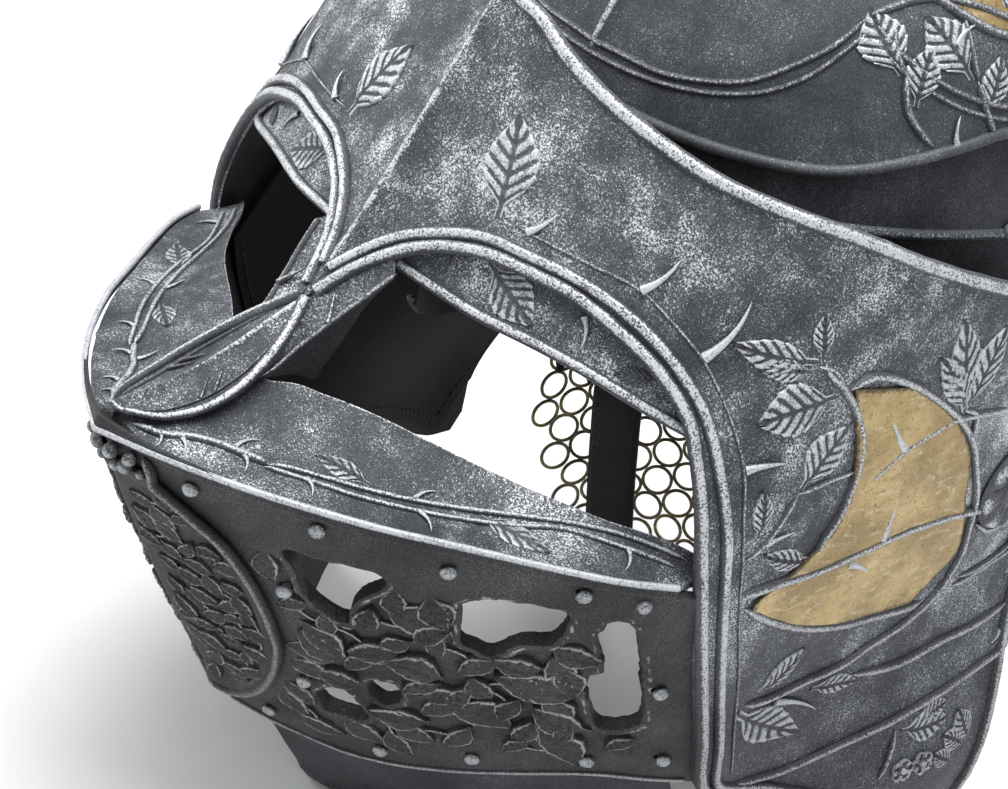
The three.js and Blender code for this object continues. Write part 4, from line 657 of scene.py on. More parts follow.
def nose_bar():
    M = Mesh(); n = 110
    R_, E_ = rail(NOSE_R, n), rail(NOSE_E, n); sk_ = rail(SKIRT[:, None], n)[:, 0]
    S = np.unique(np.concatenate([np.linspace(-2, -1, 6), np.linspace(-1, 1, 41), np.linspace(1, 2, 6)])); a = np.abs(S); g_ = np.sign(S); m = np.minimum(a, 1); k = np.maximum(a - 1, 0)
    E3 = E_[:, None] * np.stack([g_, 1 + 0 * g_, 1 + 0 * g_], -1)[None]
    P = R_[:, None] + (E3 - R_[:, None]) * m[None, :, None] + (k[None, :, None] * np.stack([g_ * .5, .3 + 0 * g_, 0 * g_], -1)[None]); P[..., 2] -= k[None] * sk_[:, None]
    wid = E_[:, 0]; P[..., 2] -= (np.sin(np.pi * np.minimum(a, 1)) * (a < 1))[None] * (.85 * np.clip(wid / 9, 0, 1))[:, None]
    P[..., 2] += (.55 * np.exp(-(S[None] * wid[:, None] / .9) ** 2)) * np.clip(wid / 6, 0, 1)[:, None] * (a < 1)[None] + .25 * (noise2(P[..., 0] * .4 + 50, P[..., 1] * .4 + 50, 45) - .5) * (a < .9)[None]
    th = np.interp(np.linspace(0, 7, n), range(8), [.4, .7, .9, 1.4, 1.8, 1.8, 1.6, .8])[:, None]
    Q = P + np.stack([-g_[None] * np.where(a > .9, np.minimum(th, np.abs(P[..., 0]) * .6) * .8, 0), th * .25 + 0 * a[None], -np.where(a < 1.5, th * .95, th * .3)], -1)
    w = np.where(a[None] < 1, .62 * np.exp(-(S[None] * wid[:, None] / 1.3) ** 2) + .20 * (np.abs(S[None]) < .55) * np.clip((P[..., 1] - 18) / 20, 0, 1), .08)
    plate(M, P.reshape(-1, 3), Q.reshape(-1, 3), grid_faces(n, len(S))[:, ::-1], w.reshape(-1), 0, 1)
    # the roll of the brow runs on down each edge and round the tip
    for sg in (1, -1):
        e = E_[2:] * [sg, 1, 1]; N = unit(np.stack([np.full(len(e), .45 * sg), np.full(len(e), -.45), np.full(len(e), .75)], -1))
        r = np.interp(np.linspace(0, 1, len(e)), [0, .1, .5, .85, 1], [.75, .95, 1.35, 1.6, 1.7])
        tube(M, e + N * .25, N, r, rise=.05, sides=14, top=1.0, low=.12, taper=(2, 0), mat=2, seed=41 + sg)
        f = (R_ + (E3[:, int(np.argmin(np.abs(S - sg)))] - R_) * .74)[10:-8]; N2 = unit(np.stack([np.full(len(f), .3 * sg), np.full(len(f), -.45), np.full(len(f), .85)], -1))
        tube(M, f - N2 * .35, N2, .5, rise=.05, sides=8, top=.75, low=.2, taper=(6, 6), mat=2, seed=43)
        for t0 in (46, 52):
            p, q = R_[t0] + (E3[t0, int(np.argmin(np.abs(S - sg)))] - R_[t0]) * .72, R_[t0 + 6] + (E3[t0 + 6, int(np.argmin(np.abs(S - sg)))] - R_[t0 + 6]) * .3
            u_ = np.linspace(0, 1, 8)[:, None]; tube(M, p * (1 - u_) + q * u_ - [0, 0, .3], np.tile(N2[0], (8, 1)), .55 * (1 - u_[:, 0]) + .12, rise=.1, sides=7, top=.8, low=.3, mat=2)
    tip = np.array([[-5.2, 8.6, 1.4], [-3.4, 5.2, 1.0], [-1.5, 3.2, 1.3], [0, 2.6, 1.8], [1.5, 3.2, 1.3], [3.4, 5.2, 1.0], [5.2, 8.6, 1.4]]); C = spline(tip, step=.6)
    tube(M, C, np.tile(unit(np.array([0, -.5, .85])), (len(C), 1)), .8, rise=.1, sides=10, top=.95, low=.2, taper=(3, 3), mat=2)
    # a flank on each side under the brow
    nt = 90; T_, B_, C_ = rail(FLANK_T, nt), rail(FLANK_B, nt), rail(FLANK_C, nt); v = np.concatenate([np.linspace(0, 1, 15), np.linspace(1, 2, 12)[1:]])
    V = v[None, :, None]; P = np.where(V <= 1, T_[:, None] + (B_ - T_)[:, None] * V, B_[:, None] + (C_ - B_)[:, None] * (V - 1))
    sag = np.where(v <= 1, np.sin(np.pi * np.minimum(v, 1)), 0)[None]; P = P + sag[..., None] * np.array([-.1, .5, -.35]) * np.clip(np.linalg.norm(B_ - T_, axis=1) / 8, 0, 1)[:, None, None]
    d = np.array([[-.2, 1.2, -.8], [-1.3, .5, -.4], [-1.5, 0, .3]]); D = np.where(V <= 1, d[0] + (d[1] - d[0]) * V, d[1] + (d[2] - d[1]) * (V - 1))
    w = np.where(v <= 1, .10 + .8 * np.exp(-((1 - v) * 9 / 1.2) ** 2), .02)[None] + 0 * P[..., 0]
    g = grid_faces(nt, len(v)); a0, b0, c0 = P[40, 5], P[41, 5], P[41, 6]
    if np.cross(b0 - a0, c0 - b0) @ np.array([.16, -.82, .55]) < 0: g = g[:, ::-1]
    K = Mesh(); plate(K, P.reshape(-1, 3), (P + D).reshape(-1, 3), g, w.reshape(-1), 0, 1); kf = K.f[0]; under = (kf % len(v)).min(1) >= 14
    # the lower faces of each flank get material 3, the darker lame steel: painted shade under the flank
    K.f[0:1] = [kf[~under], kf[under]]; K.m[0:1] = [K.m[0][~under], np.full(int(under.sum()), 3)]
    Nb = np.tile(unit(np.array([.45, -.75, .3])), (nt, 1)); tube(K, B_ + Nb * .1, Nb, np.interp(np.linspace(0, 1, nt), [0, .1, .8, 1], [.4, .75, .8, .9]), rise=0, sides=10, top=.85, low=.15, taper=(6, 1), mat=2, seed=47)
    p, q = B_[56] + Nb[0] * .4, T_[58] * .75 + B_[58] * .25 + Nb[0] * .5; u_ = np.linspace(0, 1, 10)[:, None]
    tube(K, p * (1 - u_) + q * u_, np.tile(Nb[0], (10, 1)), .85 * (1 - u_[:, 0]) + .12, rise=.1, sides=8, top=.9, low=.2, mat=2)
    for X in (K, K.flipped()): M.join(X)
    return M
o = nose_bar().build("nasal_guard_leaf", [M_VISOR, M_INNER_SHADE, M_BRIGHT, M_LAME_SHADED], sharp=60)
piece(o, "visor", ["nasal_guard"])

# ------------------------------------------------------------------ cheek shelves
def shelf_up(x, y): return shelf(x, y)
def cheek_shelf():
    M = Mesh()
    xs = np.linspace(2.2, 106.5, 93); v = np.linspace(0, 1, 33); X_, V_ = np.meshgrid(xs, v, indexing="ij")
    f0 = YEQ(X_) + 1.4 + np.where(X_ < 10, (10 - X_) * .35, 0); Y_ = f0 + (BACK(X_) - f0) * V_
    wob = .3 * (noise2(X_ * .1 + 5, Y_ * .1 + 5, 51) - .5)
    lip = .5 * np.exp(-((1 - V_) * (BACK(X_) - f0) / 1.2) ** 2)
    P = shelf(X_, Y_) + np.stack([0 * X_, 0 * X_, wob + lip], -1); Q = shelf(X_, Y_) - np.array([0, 0, 2.2])
    w = .95 * np.exp(-((1 - V_) * (BACK(X_) - f0) / .9) ** 2) * .8
    plate(M, P.reshape(-1, 3), Q.reshape(-1, 3), grid_faces(93, 33), np.clip(w, 0, 1).reshape(-1), 0, 1)
    def vine(pts, r, **k):
        P, N = along(shelf, pts, 1.1); tube(M, P, N, r, rise=.1, sides=10, top=.95, low=.25, mat=2, seed=52, **k)
    vine([[4.2, 6.4], [8, 9.0], [10.69, 10.9], [15.31, 17.66], [19.5, 21.9], [23.66, 24.76], [30.81, 29.65]], 1.15, taper=(4, 2))
    up = [[30.81, 29.65], [34, 33.6], [40, 39.5], [48, 47.2], [56, 56.2], [64, 67], [72, 79.5], [80.2, 91.55], [89.38, 102.57], [101.44, 113.89]]
    lo = [[30.81, 28.2], [35, 31.6], [41, 36.9], [49, 43.9], [57, 52.6], [65, 63.0], [72.4, 74.5], [79.6, 87.41], [89.53, 98.11], [101.72, 109.79]]
    vine(up, .85, taper=(2, 4)); vine(lo, .8, taper=(2, 4))
    leaf(M, shelf, [47.7, 49.3], [33.5, 41.6], .2, h=1.0, top=.9, mat=3, teeth=5); leaf(M, shelf, [67.4, 69.5], [84.4, 80.0], .19, h=1.0, top=.9, mat=3, teeth=5)
    for b, t, r in (([14.5, 14.6], [18.8, 12.3], .8), ([25.5, 25.6], [30.5, 22.6], .9), ([39, 35.5], [44.5, 33.3], .9), ([60, 55.8], [66.5, 54.6], .9), ([92.0, 100.6], [97.0, 95.4], .9), ([22.26, 25.06], [23.02, 31.93], .8), ([56, 57], [57, 63.5], .8), ([10.2, 10.8], [13.4, 8.4], .7)):
        thorn(M, shelf, b, t, r, mat=3, top=.95)
    return M
L = cheek_shelf(); mats = [M_VISOR, M_INNER_SHADE, M_BRIGHT, M_LEAF]
piece(L.build("cheek_shelf_left_plate", mats, sharp=50), "visor", ["cheek_shelf_left"])
piece(L.flipped().build("cheek_shelf_right_plate", mats, sharp=50), "visor", ["cheek_shelf_right"])

# ------------------------------------------------------------------ beak ridge
def beak_ridge():
    M = Mesh()
    xs = np.linspace(0, 108, 120); y = YEQ(xs)
    X = np.concatenate([-xs[:0:-1], xs]); Y = YEQ(np.abs(X)) - 1.0; Z = -2.2 - 2.6 * np.exp(-np.abs(X) / 28)
    P = np.stack([X, Y, Z], -1); T = unit(np.gradient(P, axis=0)); N = unit(np.cross(np.cross(T, [0, -.35, 1.0]), T)); N = N * np.sign(N[:, 2:3])
    tube(M, P, N, .92, rise=0, sides=14, top=1.15, low=.62, seed=61, shape=.7)
    zs = np.array([-5.3, -4.6, -3.6, -2.4]); A, B = np.meshgrid(X, zs, indexing="ij")
    S_ = np.stack([A, YEQ(np.abs(A)) - 1.5 + 0 * B, B + 1.5 * np.exp(-np.abs(A) / 12)], -1); R_ = S_ + np.array([0, 1.4, 0])
    # the strip under the ridge takes the darker breath steel: painted shade under the ridge
    plate(M, S_.reshape(-1, 3), R_.reshape(-1, 3), grid_faces(len(X), 4), np.tile([.6, .2, .15, .2], len(X)), 1)
    return M
o = beak_ridge().build("beak_ridge_rim", [M_LEAF, M_BREATH_SHADED], sharp=60)
piece(o, "visor", ["beak_ridge"])

# ------------------------------------------------------------------ breath plate
H1 = [[40, -21.4], [48.2, -20.3], [59.7, -19.9], [60.1, -23.2], [53.9, -31.2], [51.4, -36.2], [49.5, -42.9], [42.4, -37.7], [41.3, -26.9]]
H2 = [[72.9, -23.3], [74, -21.7], [79.4, -18.4], [84.5, -17.6], [91.1, -17.4], [91.7, -18.9], [90.3, -25], [87.4, -31.2], [84.3, -32.3], [81.9, -33.9], [75.8, -41.2], [73.6, -39.9], [71.5, -38.7], [72.1, -31.7]]
H3 = [[96.7, -22], [98.3, -17.8], [100.2, -16.0], [101.8, -17.4], [102.3, -22.4], [102.4, -37.7], [101.3, -55.2], [98.7, -59.2], [94, -61.4], [92.6, -51.9], [93, -42], [96.4, -36.1], [96, -29.8], [96, -23.1]]
H4 = [[34.1, -83], [37.1, -76.1], [42.5, -72.2], [46, -83.8], [36.3, -86.3]]
H5 = [[49.1, -66.8], [55.6, -62.1], [56.2, -68.8], [53.1, -72.8], [50.3, -73.3]]
RIVETS = [[22.2, -10.8], [49.1, -9.2], [71.8, -11.6], [94.4, -9.1], [104.7, -41.3], [103.6, -69.9], [89.9, -76.5], [66.7, -87.6], [45.5, -97], [16.1, -99.6], [38, -36.3], [33.6, -74.2]]

def leaf_relief(x, z, cx, cz, ang, L, W, h, teeth=5):
    """Height of one carved leaf on the plate at points x, z."""
    c, s = math.cos(ang), math.sin(ang); lx = ((x - cx) * c + (z - cz) * s) / L; ly = (-(x - cx) * s + (z - cz) * c)
    k = np.clip(lx, 0, 1); w = W * np.sin(np.pi * k ** .8) ** .8 * (1 - .2 * k) * (1 + .16 * (((k * teeth) % 1) - .5)) + .05
    t = np.abs(ly) / w; inside = (lx > 0) & (lx < 1) & (t < 1.15)
    edge = sm((1.12 - t) / .28)
    vein = (k * teeth - t * 1.1 + .5) % 1.0
    hh = h * edge * (.55 + .45 * np.clip(t, 0, 1) ** 2 - .38 * np.exp(-((vein - .5) / .15) ** 2) * (t > .1) - .45 * np.exp(-(ly / .5) ** 2))
    rim = np.exp(-((t - .88) / .14) ** 2) * edge
    return np.where(inside, hh, 0), np.where(inside, rim, 0), inside

def carved(x, z, seed, region, n, size=(9, 15), h=1.7):
    """Low relief of overlapping leaves and stems scattered over a region."""
    r = np.random.default_rng(seed); H = np.zeros(x.shape); Wr = np.zeros(x.shape); pts = []
    tries = 0
    while len(pts) < n and tries < 4000:
        tries += 1; cx, cz = r.uniform(region[0], region[1]), r.uniform(region[2], region[3])
        if not region[4](cx, cz): continue
        if any(math.hypot(cx - p[0], cz - p[1]) < size[0] * .62 for p in pts): continue
        pts.append((cx, cz))
        L = r.uniform(*size); a = r.uniform(0, 2 * np.pi)
        hh, rim, ins = leaf_relief(x, z, cx - math.cos(a) * L / 2, cz - math.sin(a) * L / 2, a, L, L * r.uniform(.22, .34), h * r.uniform(.75, 1.1), r.integers(4, 7))
        up = ins & (hh > H * .8); H = np.where(up, np.maximum(hh, H * .55), H); Wr = np.where(up, rim, Wr * np.where(ins, .6, 1))
    # stems between neighbours
    for i in range(0, len(pts) - 1):
        d = [math.hypot(pts[i][0] - q[0], pts[i][1] - q[1]) if j > i else 1e9 for j, q in enumerate(pts)]; j = int(np.argmin(d))
        if d[j] > 20: continue
        p, q = np.array(pts[i]), np.array(pts[j]); m = (p + q) / 2 + r.uniform(-2.5, 2.5, 2); t = np.linspace(0, 1, 14)[:, None]
        C = (1 - t) ** 2 * p + 2 * t * (1 - t) * m + t * t * q
        k = (x > C[:, 0].min() - 2) & (x < C[:, 0].max() + 2) & (z > C[:, 1].min() - 2) & (z < C[:, 1].max() + 2)
        if not k.any(): continue
        dd = np.min(np.hypot(x[k][:, None] - C[:, 0], z[k][:, None] - C[:, 1]), 1); b = h * .6 * np.sqrt(np.clip(1 - (dd / .95) ** 2, 0, 1))
        H[k] = np.maximum(H[k], b); Wr[k] = np.maximum(Wr[k], .75 * np.exp(-(dd / .5) ** 2) * (b > 0))
    return H, Wr

def breath_half_mask(x, z):
    """1 where the foliage is carved, 0 on the plain border, with soft edges."""
    a = np.abs(x); low = ZBREATH(a)
    return sm((-z - 22 - .05 * a) / 5) * sm((z - low - 9.5) / 4) * sm((101 - a) / 3.5) * sm((a - DPANEL(np.clip(z, -98, -12.5)) - 4.5) / 3)

def scatter(seed, region, gap, n, avoid=(), clear=4.0, pts=(), flow=.35):
    """Places for leaves: spread out, clear of the holes and rivets, lying along a common sweep."""
    r = np.random.default_rng(seed); out = []
    for _ in range(9000):
        if len(out) >= n: break
        x, z = r.uniform(region[0], region[1]), r.uniform(region[2], region[3])
        if not region[4](x, z) or any(math.hypot(x - q[0], z - q[1]) < gap for q in out) or any(math.hypot(x - q[0], z - q[1]) < 4.6 for q in pts): continue
        X_, Z_ = np.array([x]), np.array([z])
        if any(in_poly(X_, Z_, q)[0] or near_poly(X_, Z_, q)[0][0] < clear for q in avoid): continue
        a = .35 + .9 * math.sin(x * .07 + z * .05) + r.normal(0, flow) + (math.pi if r.random() < .5 else 0)
        out.append((x, z, a, r.uniform(.8, 1.25), r.uniform(.26, .36)))
    return out
def foliage(M, f, places, size, h, mat, top, hollow=.75, sides=(1, -1)):
    for k, (x, z, a, q, w) in enumerate(places):
        d = np.array([math.cos(a), math.sin(a)]) * size * q / 2
        for sx in sides:
            leaf(M, f, [sx * (x - d[0]), z - d[1]], [sx * (x + d[0]), z + d[1]], w, h=h * (.8 + .4 * (k % 3) / 2), teeth=4, bend=.10 * (-1) ** k * sx, top=top, mat=mat, stem=.05, res=(18, 11), hollow=hollow)
    for k in range(0, len(places) - 1):
        p = np.array(places[k][:2]); dd = [np.hypot(*(p - np.array(q[:2]))) if j > k else 1e9 for j, q in enumerate(places)]; j = int(np.argmin(dd))
        if dd[j] > size * 1.3: continue
        q = np.array(places[j][:2]); m_ = (p + q) / 2 + np.array([q[1] - p[1], p[0] - q[0]]) * .18
        for sx in sides:
            P, N = along(f, np.stack([p, m_, q]) * [sx, 1], 1.3); tube(M, P, N, .55, rise=.35, sides=6, top=top * .95, low=.1, mat=mat)
def breath_plate():
    M = Mesh(); st = .9
    xs = np.concatenate([-np.arange(st, 111, st)[::-1], [0], np.arange(st, 111, st)]); xs = np.concatenate([[-111], xs, [111]]); v = np.linspace(0, 1, 104)
    X, V = np.meshgrid(xs, v, indexing="ij"); low = ZBREATH(np.abs(X)); top = -5.9 + 1.5 * np.exp(-np.abs(X) / 12); Z = low + (top - low) * V
    polys = []
    for k, (h, amp) in enumerate(((H1, .3), (H2, .45), (H3, .6), (H4, .5), (H5, .5))):
        q = rough_outline(h, 60 + k, amp); polys += [q, q * [-1, 1]]
    holes = [np.array(p) + 1.45 * np.stack([np.cos(t), np.sin(t)], -1) for p in RIVETS for t in [np.linspace(0, 2 * np.pi, 13)[:-1]]]
    g = grid_faces(len(xs), len(v)); A, B, g, dist = cut_holes(X, Z, g, polys, 7); A, B, g, _ = cut_holes(A, B, g, holes + [q * [-1, 1] for q in holes], 3)
    a = np.abs(A); m = breath_half_mask(A, B)
    rough = .7 * (noise2(A * .5 + 70, B * .5 + 70, 62) - .5) * m + .22 * (noise2(A * .12 + 70, B * .12 + 70, 63) - .5)
    rimh = np.exp(-(dist / 1.3) ** 2) * (.5 + .7 * noise2(A * .5 + 30, B * .5 + 30, 64))
    h = -1.35 * m * sm((dist - 1.0) / 1.6) + rough + .8 * rimh - .8 * np.exp(-(dist / .5) ** 2)
    w = np.clip(.75 * np.exp(-((dist - .8) / .42) ** 2) * (dist < 40) * (.5 + .9 * noise2(A * .6 + 11, B * .6 + 11, 65)) + .06, 0, 1)
    P = lift(breath, A, B, h); Q = lift(breath, A, B, -3.0 - 1.5 * np.exp(-(dist / 2.5) ** 2)); P[:, 0] = np.where(a < 1e-6, 0, P[:, 0])
    g, P, Q, w = compact(g, P, Q, w); plate(M, P, Q, g, w, 0, 1)
    ok = lambda cx, cz: float(breath_half_mask(np.array(cx), np.array(cz))) > .45
    base = lambda u_, v_: lift(breath, u_, v_, np.full(np.shape(u_ + v_), -.75))
    places = scatter(77, (24, 103, -102, -22, ok), 7.0, 66, avoid=[q for q in polys[::2]], clear=3.6, pts=RIVETS, flow=.6)
    foliage(M, base, places, 10.8, 2.0, 0, 1.12)
    # larger leaves curl round the holes
    for b_, t_, w_ in (([62, -44], [70.5, -33], .3), ([60.5, -47], [48.5, -52], .3), ([92, -64], [82, -58], .3), ([66, -23.5], [70, -33], .3), ([88, -38], [90, -50], .3), ([57.5, -76], [47, -78], .3), ([60, -66], [70, -60], .3), ([38, -48], [46, -58], .28)):
        for sx in (1, -1): leaf(M, base, [sx * b_[0], b_[1]], [sx * t_[0], t_[1]], w_, h=2.2, teeth=5, bend=.1 * sx, top=1.15, mat=0, res=(26, 13), hollow=.75)
    xe = np.linspace(-106, 106, 150); P_, N_ = along(breath, np.stack([xe, ZBREATH(np.abs(xe)) + 1.0], -1), 1.3)
    tube(M, P_, N_, .95, rise=-.1, sides=10, top=.95, low=.1, mat=0, seed=66)
    for sx in (1, -1):
        c, n = breath(sx * 103.4, -9.6), normal(breath, sx * 103.4, -9.6); dome(M, c, n, [(2.1, -.8), (2.2, .3), (1.9, 1.2), (1.2, 1.9), (.4, 2.15)], sides=18, mat=2, dent=.3)
    return M
o = breath_plate().build("breath_plate_carved", [M_BREATH_SHADED, M_INNER_SHADE, M_RIVET], sharp=55)
piece(o, "visor", ["breath_plate"])

def medial_panel():
    M = Mesh(); zs = np.linspace(-98, -12.5, 100); ss = np.linspace(-1, 1, 71); Z, S_ = np.meshgrid(zs, ss, indexing="ij"); hw = DPANEL(Z); X = S_ * hw
    edge = (1 - np.abs(S_)) * hw; m = sm((edge - 3.6) / 1.4) * sm((Z + 95) / 3) * sm((-14 - Z) / 4)
    rough = .5 * (noise2(X * .6 + 20, Z * .6 + 80, 92) - .5) * m * sm((np.abs(X) - 2) / 3)
    h = 2.2 - 1.15 * m + rough
    P = lift(breath, X, Z, h, eb=.4); P[..., 0] = np.where(np.abs(X) < 1e-6, 0, P[..., 0]); Q = lift(breath, X, Z, np.full(X.shape, .8)); Q[..., 0] = np.where(np.abs(X) < 1e-6, 0, Q[..., 0])
    plate(M, P.reshape(-1, 3), Q.reshape(-1, 3), grid_faces(100, 71)[:, ::-1], .06, 0)
    base = lambda u_, v_: lift(breath, u_, v_, np.full(np.shape(u_ + v_), 1.1))
    places = scatter(91, (4.5, 31, -94, -19, lambda cx, cz: cx < float(DPANEL(cz)) - 5.5 and cz > -93), 5.2, 40, flow=.7)
    foliage(M, base, places, 7.6, 1.6, 0, 1.08)
    z = np.concatenate([[-7.6, -10.5], -np.linspace(14.3, 97.5, 80)]); x = np.concatenate([[10.8, 12.4], DPANEL(-np.linspace(14.3, 97.5, 80)) - 1.0 + .0]); x = np.maximum(x, 0)
    zb = -98.3; pts = np.concatenate([np.stack([x, z], -1), [[5.2, zb], [0, zb - .3], [-5.2, zb]], np.stack([-x, z], -1)[::-1]])
    P, N = along(breath, spline(pts, step=1.2), 1.2); s_ = np.linspace(0, 1, len(P)); up = 1.9 - 1.5 * np.exp(-(np.minimum(s_, 1 - s_) / .02) ** 2); P = P + N * up[:, None]
    tube(M, P, N, 1.5, rise=0, sides=12, top=.72, low=.12, seed=93, taper=(2, 2))
    zi = np.linspace(-92, -20, 60); xi = DPANEL(zi) - 4.2; P, N = along(breath, np.stack([xi, zi], -1), 1.2); P = P + N * 1.5; tube(M, P, N, .45, rise=0, sides=8, top=.5, low=.15, taper=(6, 6))
    P = P * [-1, 1, 1]; N = N * [-1, 1, 1]; tube(M, P[::-1], N[::-1], .45, rise=0, sides=8, top=.5, low=.15, taper=(6, 6))
    for x, z, r in ((2.2, -9.2, 2.1), (5.6, -12.2, 2.1), (7.6, -9.0, 1.9), (2.3, -13.6, 1.7), (9.6, -12.6, 1.4)):
        for sx in (1, -1): ball(M, breath(sx * x, z) + normal(breath, sx * x, z) * 1.2, normal(breath, sx * x, z), r, top=.95, mat=1)
    return M
o = medial_panel().build("medial_panel_carved", [M_BREATH_SHADED, M_RIVET], sharp=60)
piece(o, "visor", ["medial_panel"])

def rivets(side):
    M = Mesh()
    for k, (x, z) in enumerate(RIVETS):
        c, n = breath(side * x, z), normal(breath, side * x, z)
        dome(M, c, n, [(1.2, -5.2), (2.2, -5.2), (2.2, -3.8), (1.2, -3.75), (1.2, .55), (2.2, .6), (2.28, .95), (2.1, 1.45), (1.65, 1.95), (1.05, 2.25), (.4, 2.38)], sides=22, dent=.35, seed=k, wear=[.1, .1, .1, .1, .1, .25, .5, .75, .95, 1, 1])
    return M
piece(rivets(1).build("breath_rivets_left", [M_RIVET], sharp=50), "visor", ["breath_rivet_%02d_left" % i for i in range(1, 13)])
piece(rivets(-1).build("breath_rivets_right", [M_RIVET], sharp=50), "visor", ["breath_rivet_%02d_right" % i for i in range(1, 13)])

def chin_lame():
    M = Mesh(); xs = np.linspace(-101, 101, 150); v = np.linspace(0, 1, 26); X, V = np.meshgrid(xs, v, indexing="ij")
    top = ZBREATH(np.abs(X)) + 7; Z = BASE_Z + (top - BASE_Z) * V
    wob = .35 * (noise2(X * .08 + 40, Z * .08 + 90, 71) - .5); bead = .9 * np.exp(-((Z - BASE_Z - 3) / 1.8) ** 2)
    P = lift(chin, X, Z, np.minimum(wob, .2) - .9 + bead); Q = lift(chin, X, Z, np.full(X.shape, -2.6)); P[..., 2] = np.maximum(P[..., 2], BASE_Z); Q[..., 2] = np.maximum(Q[..., 2], BASE_Z)
    P[:, 0, 2] = BASE_Z; Q[:, 0, 2] = BASE_Z
    w = .75 * np.exp(-((Z - BASE_Z - 3) / 1.4) ** 2)
    plate(M, P.reshape(-1, 3), Q.reshape(-1, 3), grid_faces(150, 26), w.reshape(-1), 0, 1)
    return M
o = chin_lame().build("chin_lame_plate", [M_LAME_SHADED, M_INNER_SHADE], sharp=50)
piece(o, "visor", ["chin_lame"])

# ------------------------------------------------------------------ gilt inlays
INLAY = np.array([[-26, 222, 252], [-19, 188, 256], [-11, 166, 258], [0, 172, 247.5], [10, 175, 238], [21, 170.5, 226], [32, 164, 211], [44, 152, 186], [53, 144, 162]], float)
def gilt_inlay():
    M = Mesh(); L0, L1 = Tab(INLAY[:, [0, 1]] - np.where(INLAY[:, :1] > 30, [[0, 3.2]], [[0, .8]])), Tab(INLAY[:, [0, 2]] + np.where(INLAY[:, :1] < 5, [[0, 3.5]], [[0, .8]]))
    zs = np.linspace(-26, 53, 110); k = np.linspace(0, 1, 90); Z, K = np.meshgrid(zs, k, indexing="ij"); U_ = L0(Z) + (L1(Z) - L0(Z)) * K
    uu = U_; dz = np.hypot(visor(uu, Z)[..., 1] - PIVOT_Y, Z - PIVOT_Z); ok = dz > 17.2
    g = grid_faces(110, 90)[:, ::-1]; g = g[ok.reshape(-1)[g].all(1)]
    wob = .25 * (noise2(U_ * .12 + 9, Z * .12 + 70, 81) - .5) + .14 * (noise2(U_ * .7, Z * .7 + 70, 82) - .5)
    e = np.minimum(np.minimum(K, 1 - K) * (L1(Z) - L0(Z)), np.minimum(Z + 26, 53 - Z)); w = sm(e / 3.2)
    P = lift(visor, U_, Z, 1.25 + wob); Q = lift(visor, U_, Z, np.full(U_.shape, .45))
    g, P, Q, w = compact(g, P.reshape(-1, 3), Q.reshape(-1, 3), w.reshape(-1)); plate(M, P, Q, g, w, 0)
    return M
L = gilt_inlay()
piece(L.build("gilt_inlay_left_sheet", [M_GILT], sharp=50), "visor", ["gilt_inlay_left"])
piece(L.flipped().build("gilt_inlay_right_sheet", [M_GILT], sharp=50), "visor", ["gilt_inlay_right"])

# ------------------------------------------------------------------ wing linings and pivot fittings
def wing_lining():
    M = Mesh(); us = np.linspace(152, 352, 90); v = np.linspace(0, 1, 40); U_, V = np.meshgrid(us, v, indexing="ij")
    low = ZLOW(U_) + 4; top = np.maximum(ZTOP(U_) - 5, low + 6); Z = low + (top - low) * V
    dz = np.hypot(visor(U_, Z)[..., 1] - PIVOT_Y, Z - PIVOT_Z); ok = dz > 10.6; g = grid_faces(90, 40); g = g[ok.reshape(-1)[g].all(1)]
    soft = .35 * (noise2(U_ * .05 + 30, Z * .07 + 80, 83) - .5) + .12 * (noise2(U_ * .5 + 30, Z * .5 + 80, 84) - .5)
    P = lift(visor, U_, Z, np.full(U_.shape, -5.0)); Q = lift(visor, U_, Z, -6.1 + soft)
    g, P, Q = compact(g, P.reshape(-1, 3), Q.reshape(-1, 3)); plate(M, P, Q, g, 0.0, 0)
    # a stitched line round the edge
    edge = [[u, float(ZLOW(u)) + 7.5] for u in np.linspace(156, 346, 40)] + [[u, float(max(ZTOP(u) - 8.5, ZLOW(u) + 9))] for u in np.linspace(346, 156, 40)]
    Pp, Nn = along(visor, edge, 1.0); Pp = Pp - Nn * 6.15; n = len(Pp)
    for i in range(0, n - 4, 4): tube(M, Pp[i:i + 3], -Nn[i:i + 3], .38, rise=.1, sides=6, top=0, low=0, mat=1)
    return M
L = wing_lining()
piece(L.build("wing_lining_left_leather", [M_BROWN, M_THREAD], sharp=50), "visor", ["wing_lining_left"])
piece(L.flipped().build("wing_lining_right_leather", [M_BROWN, M_THREAD], sharp=50), "visor", ["wing_lining_right"])

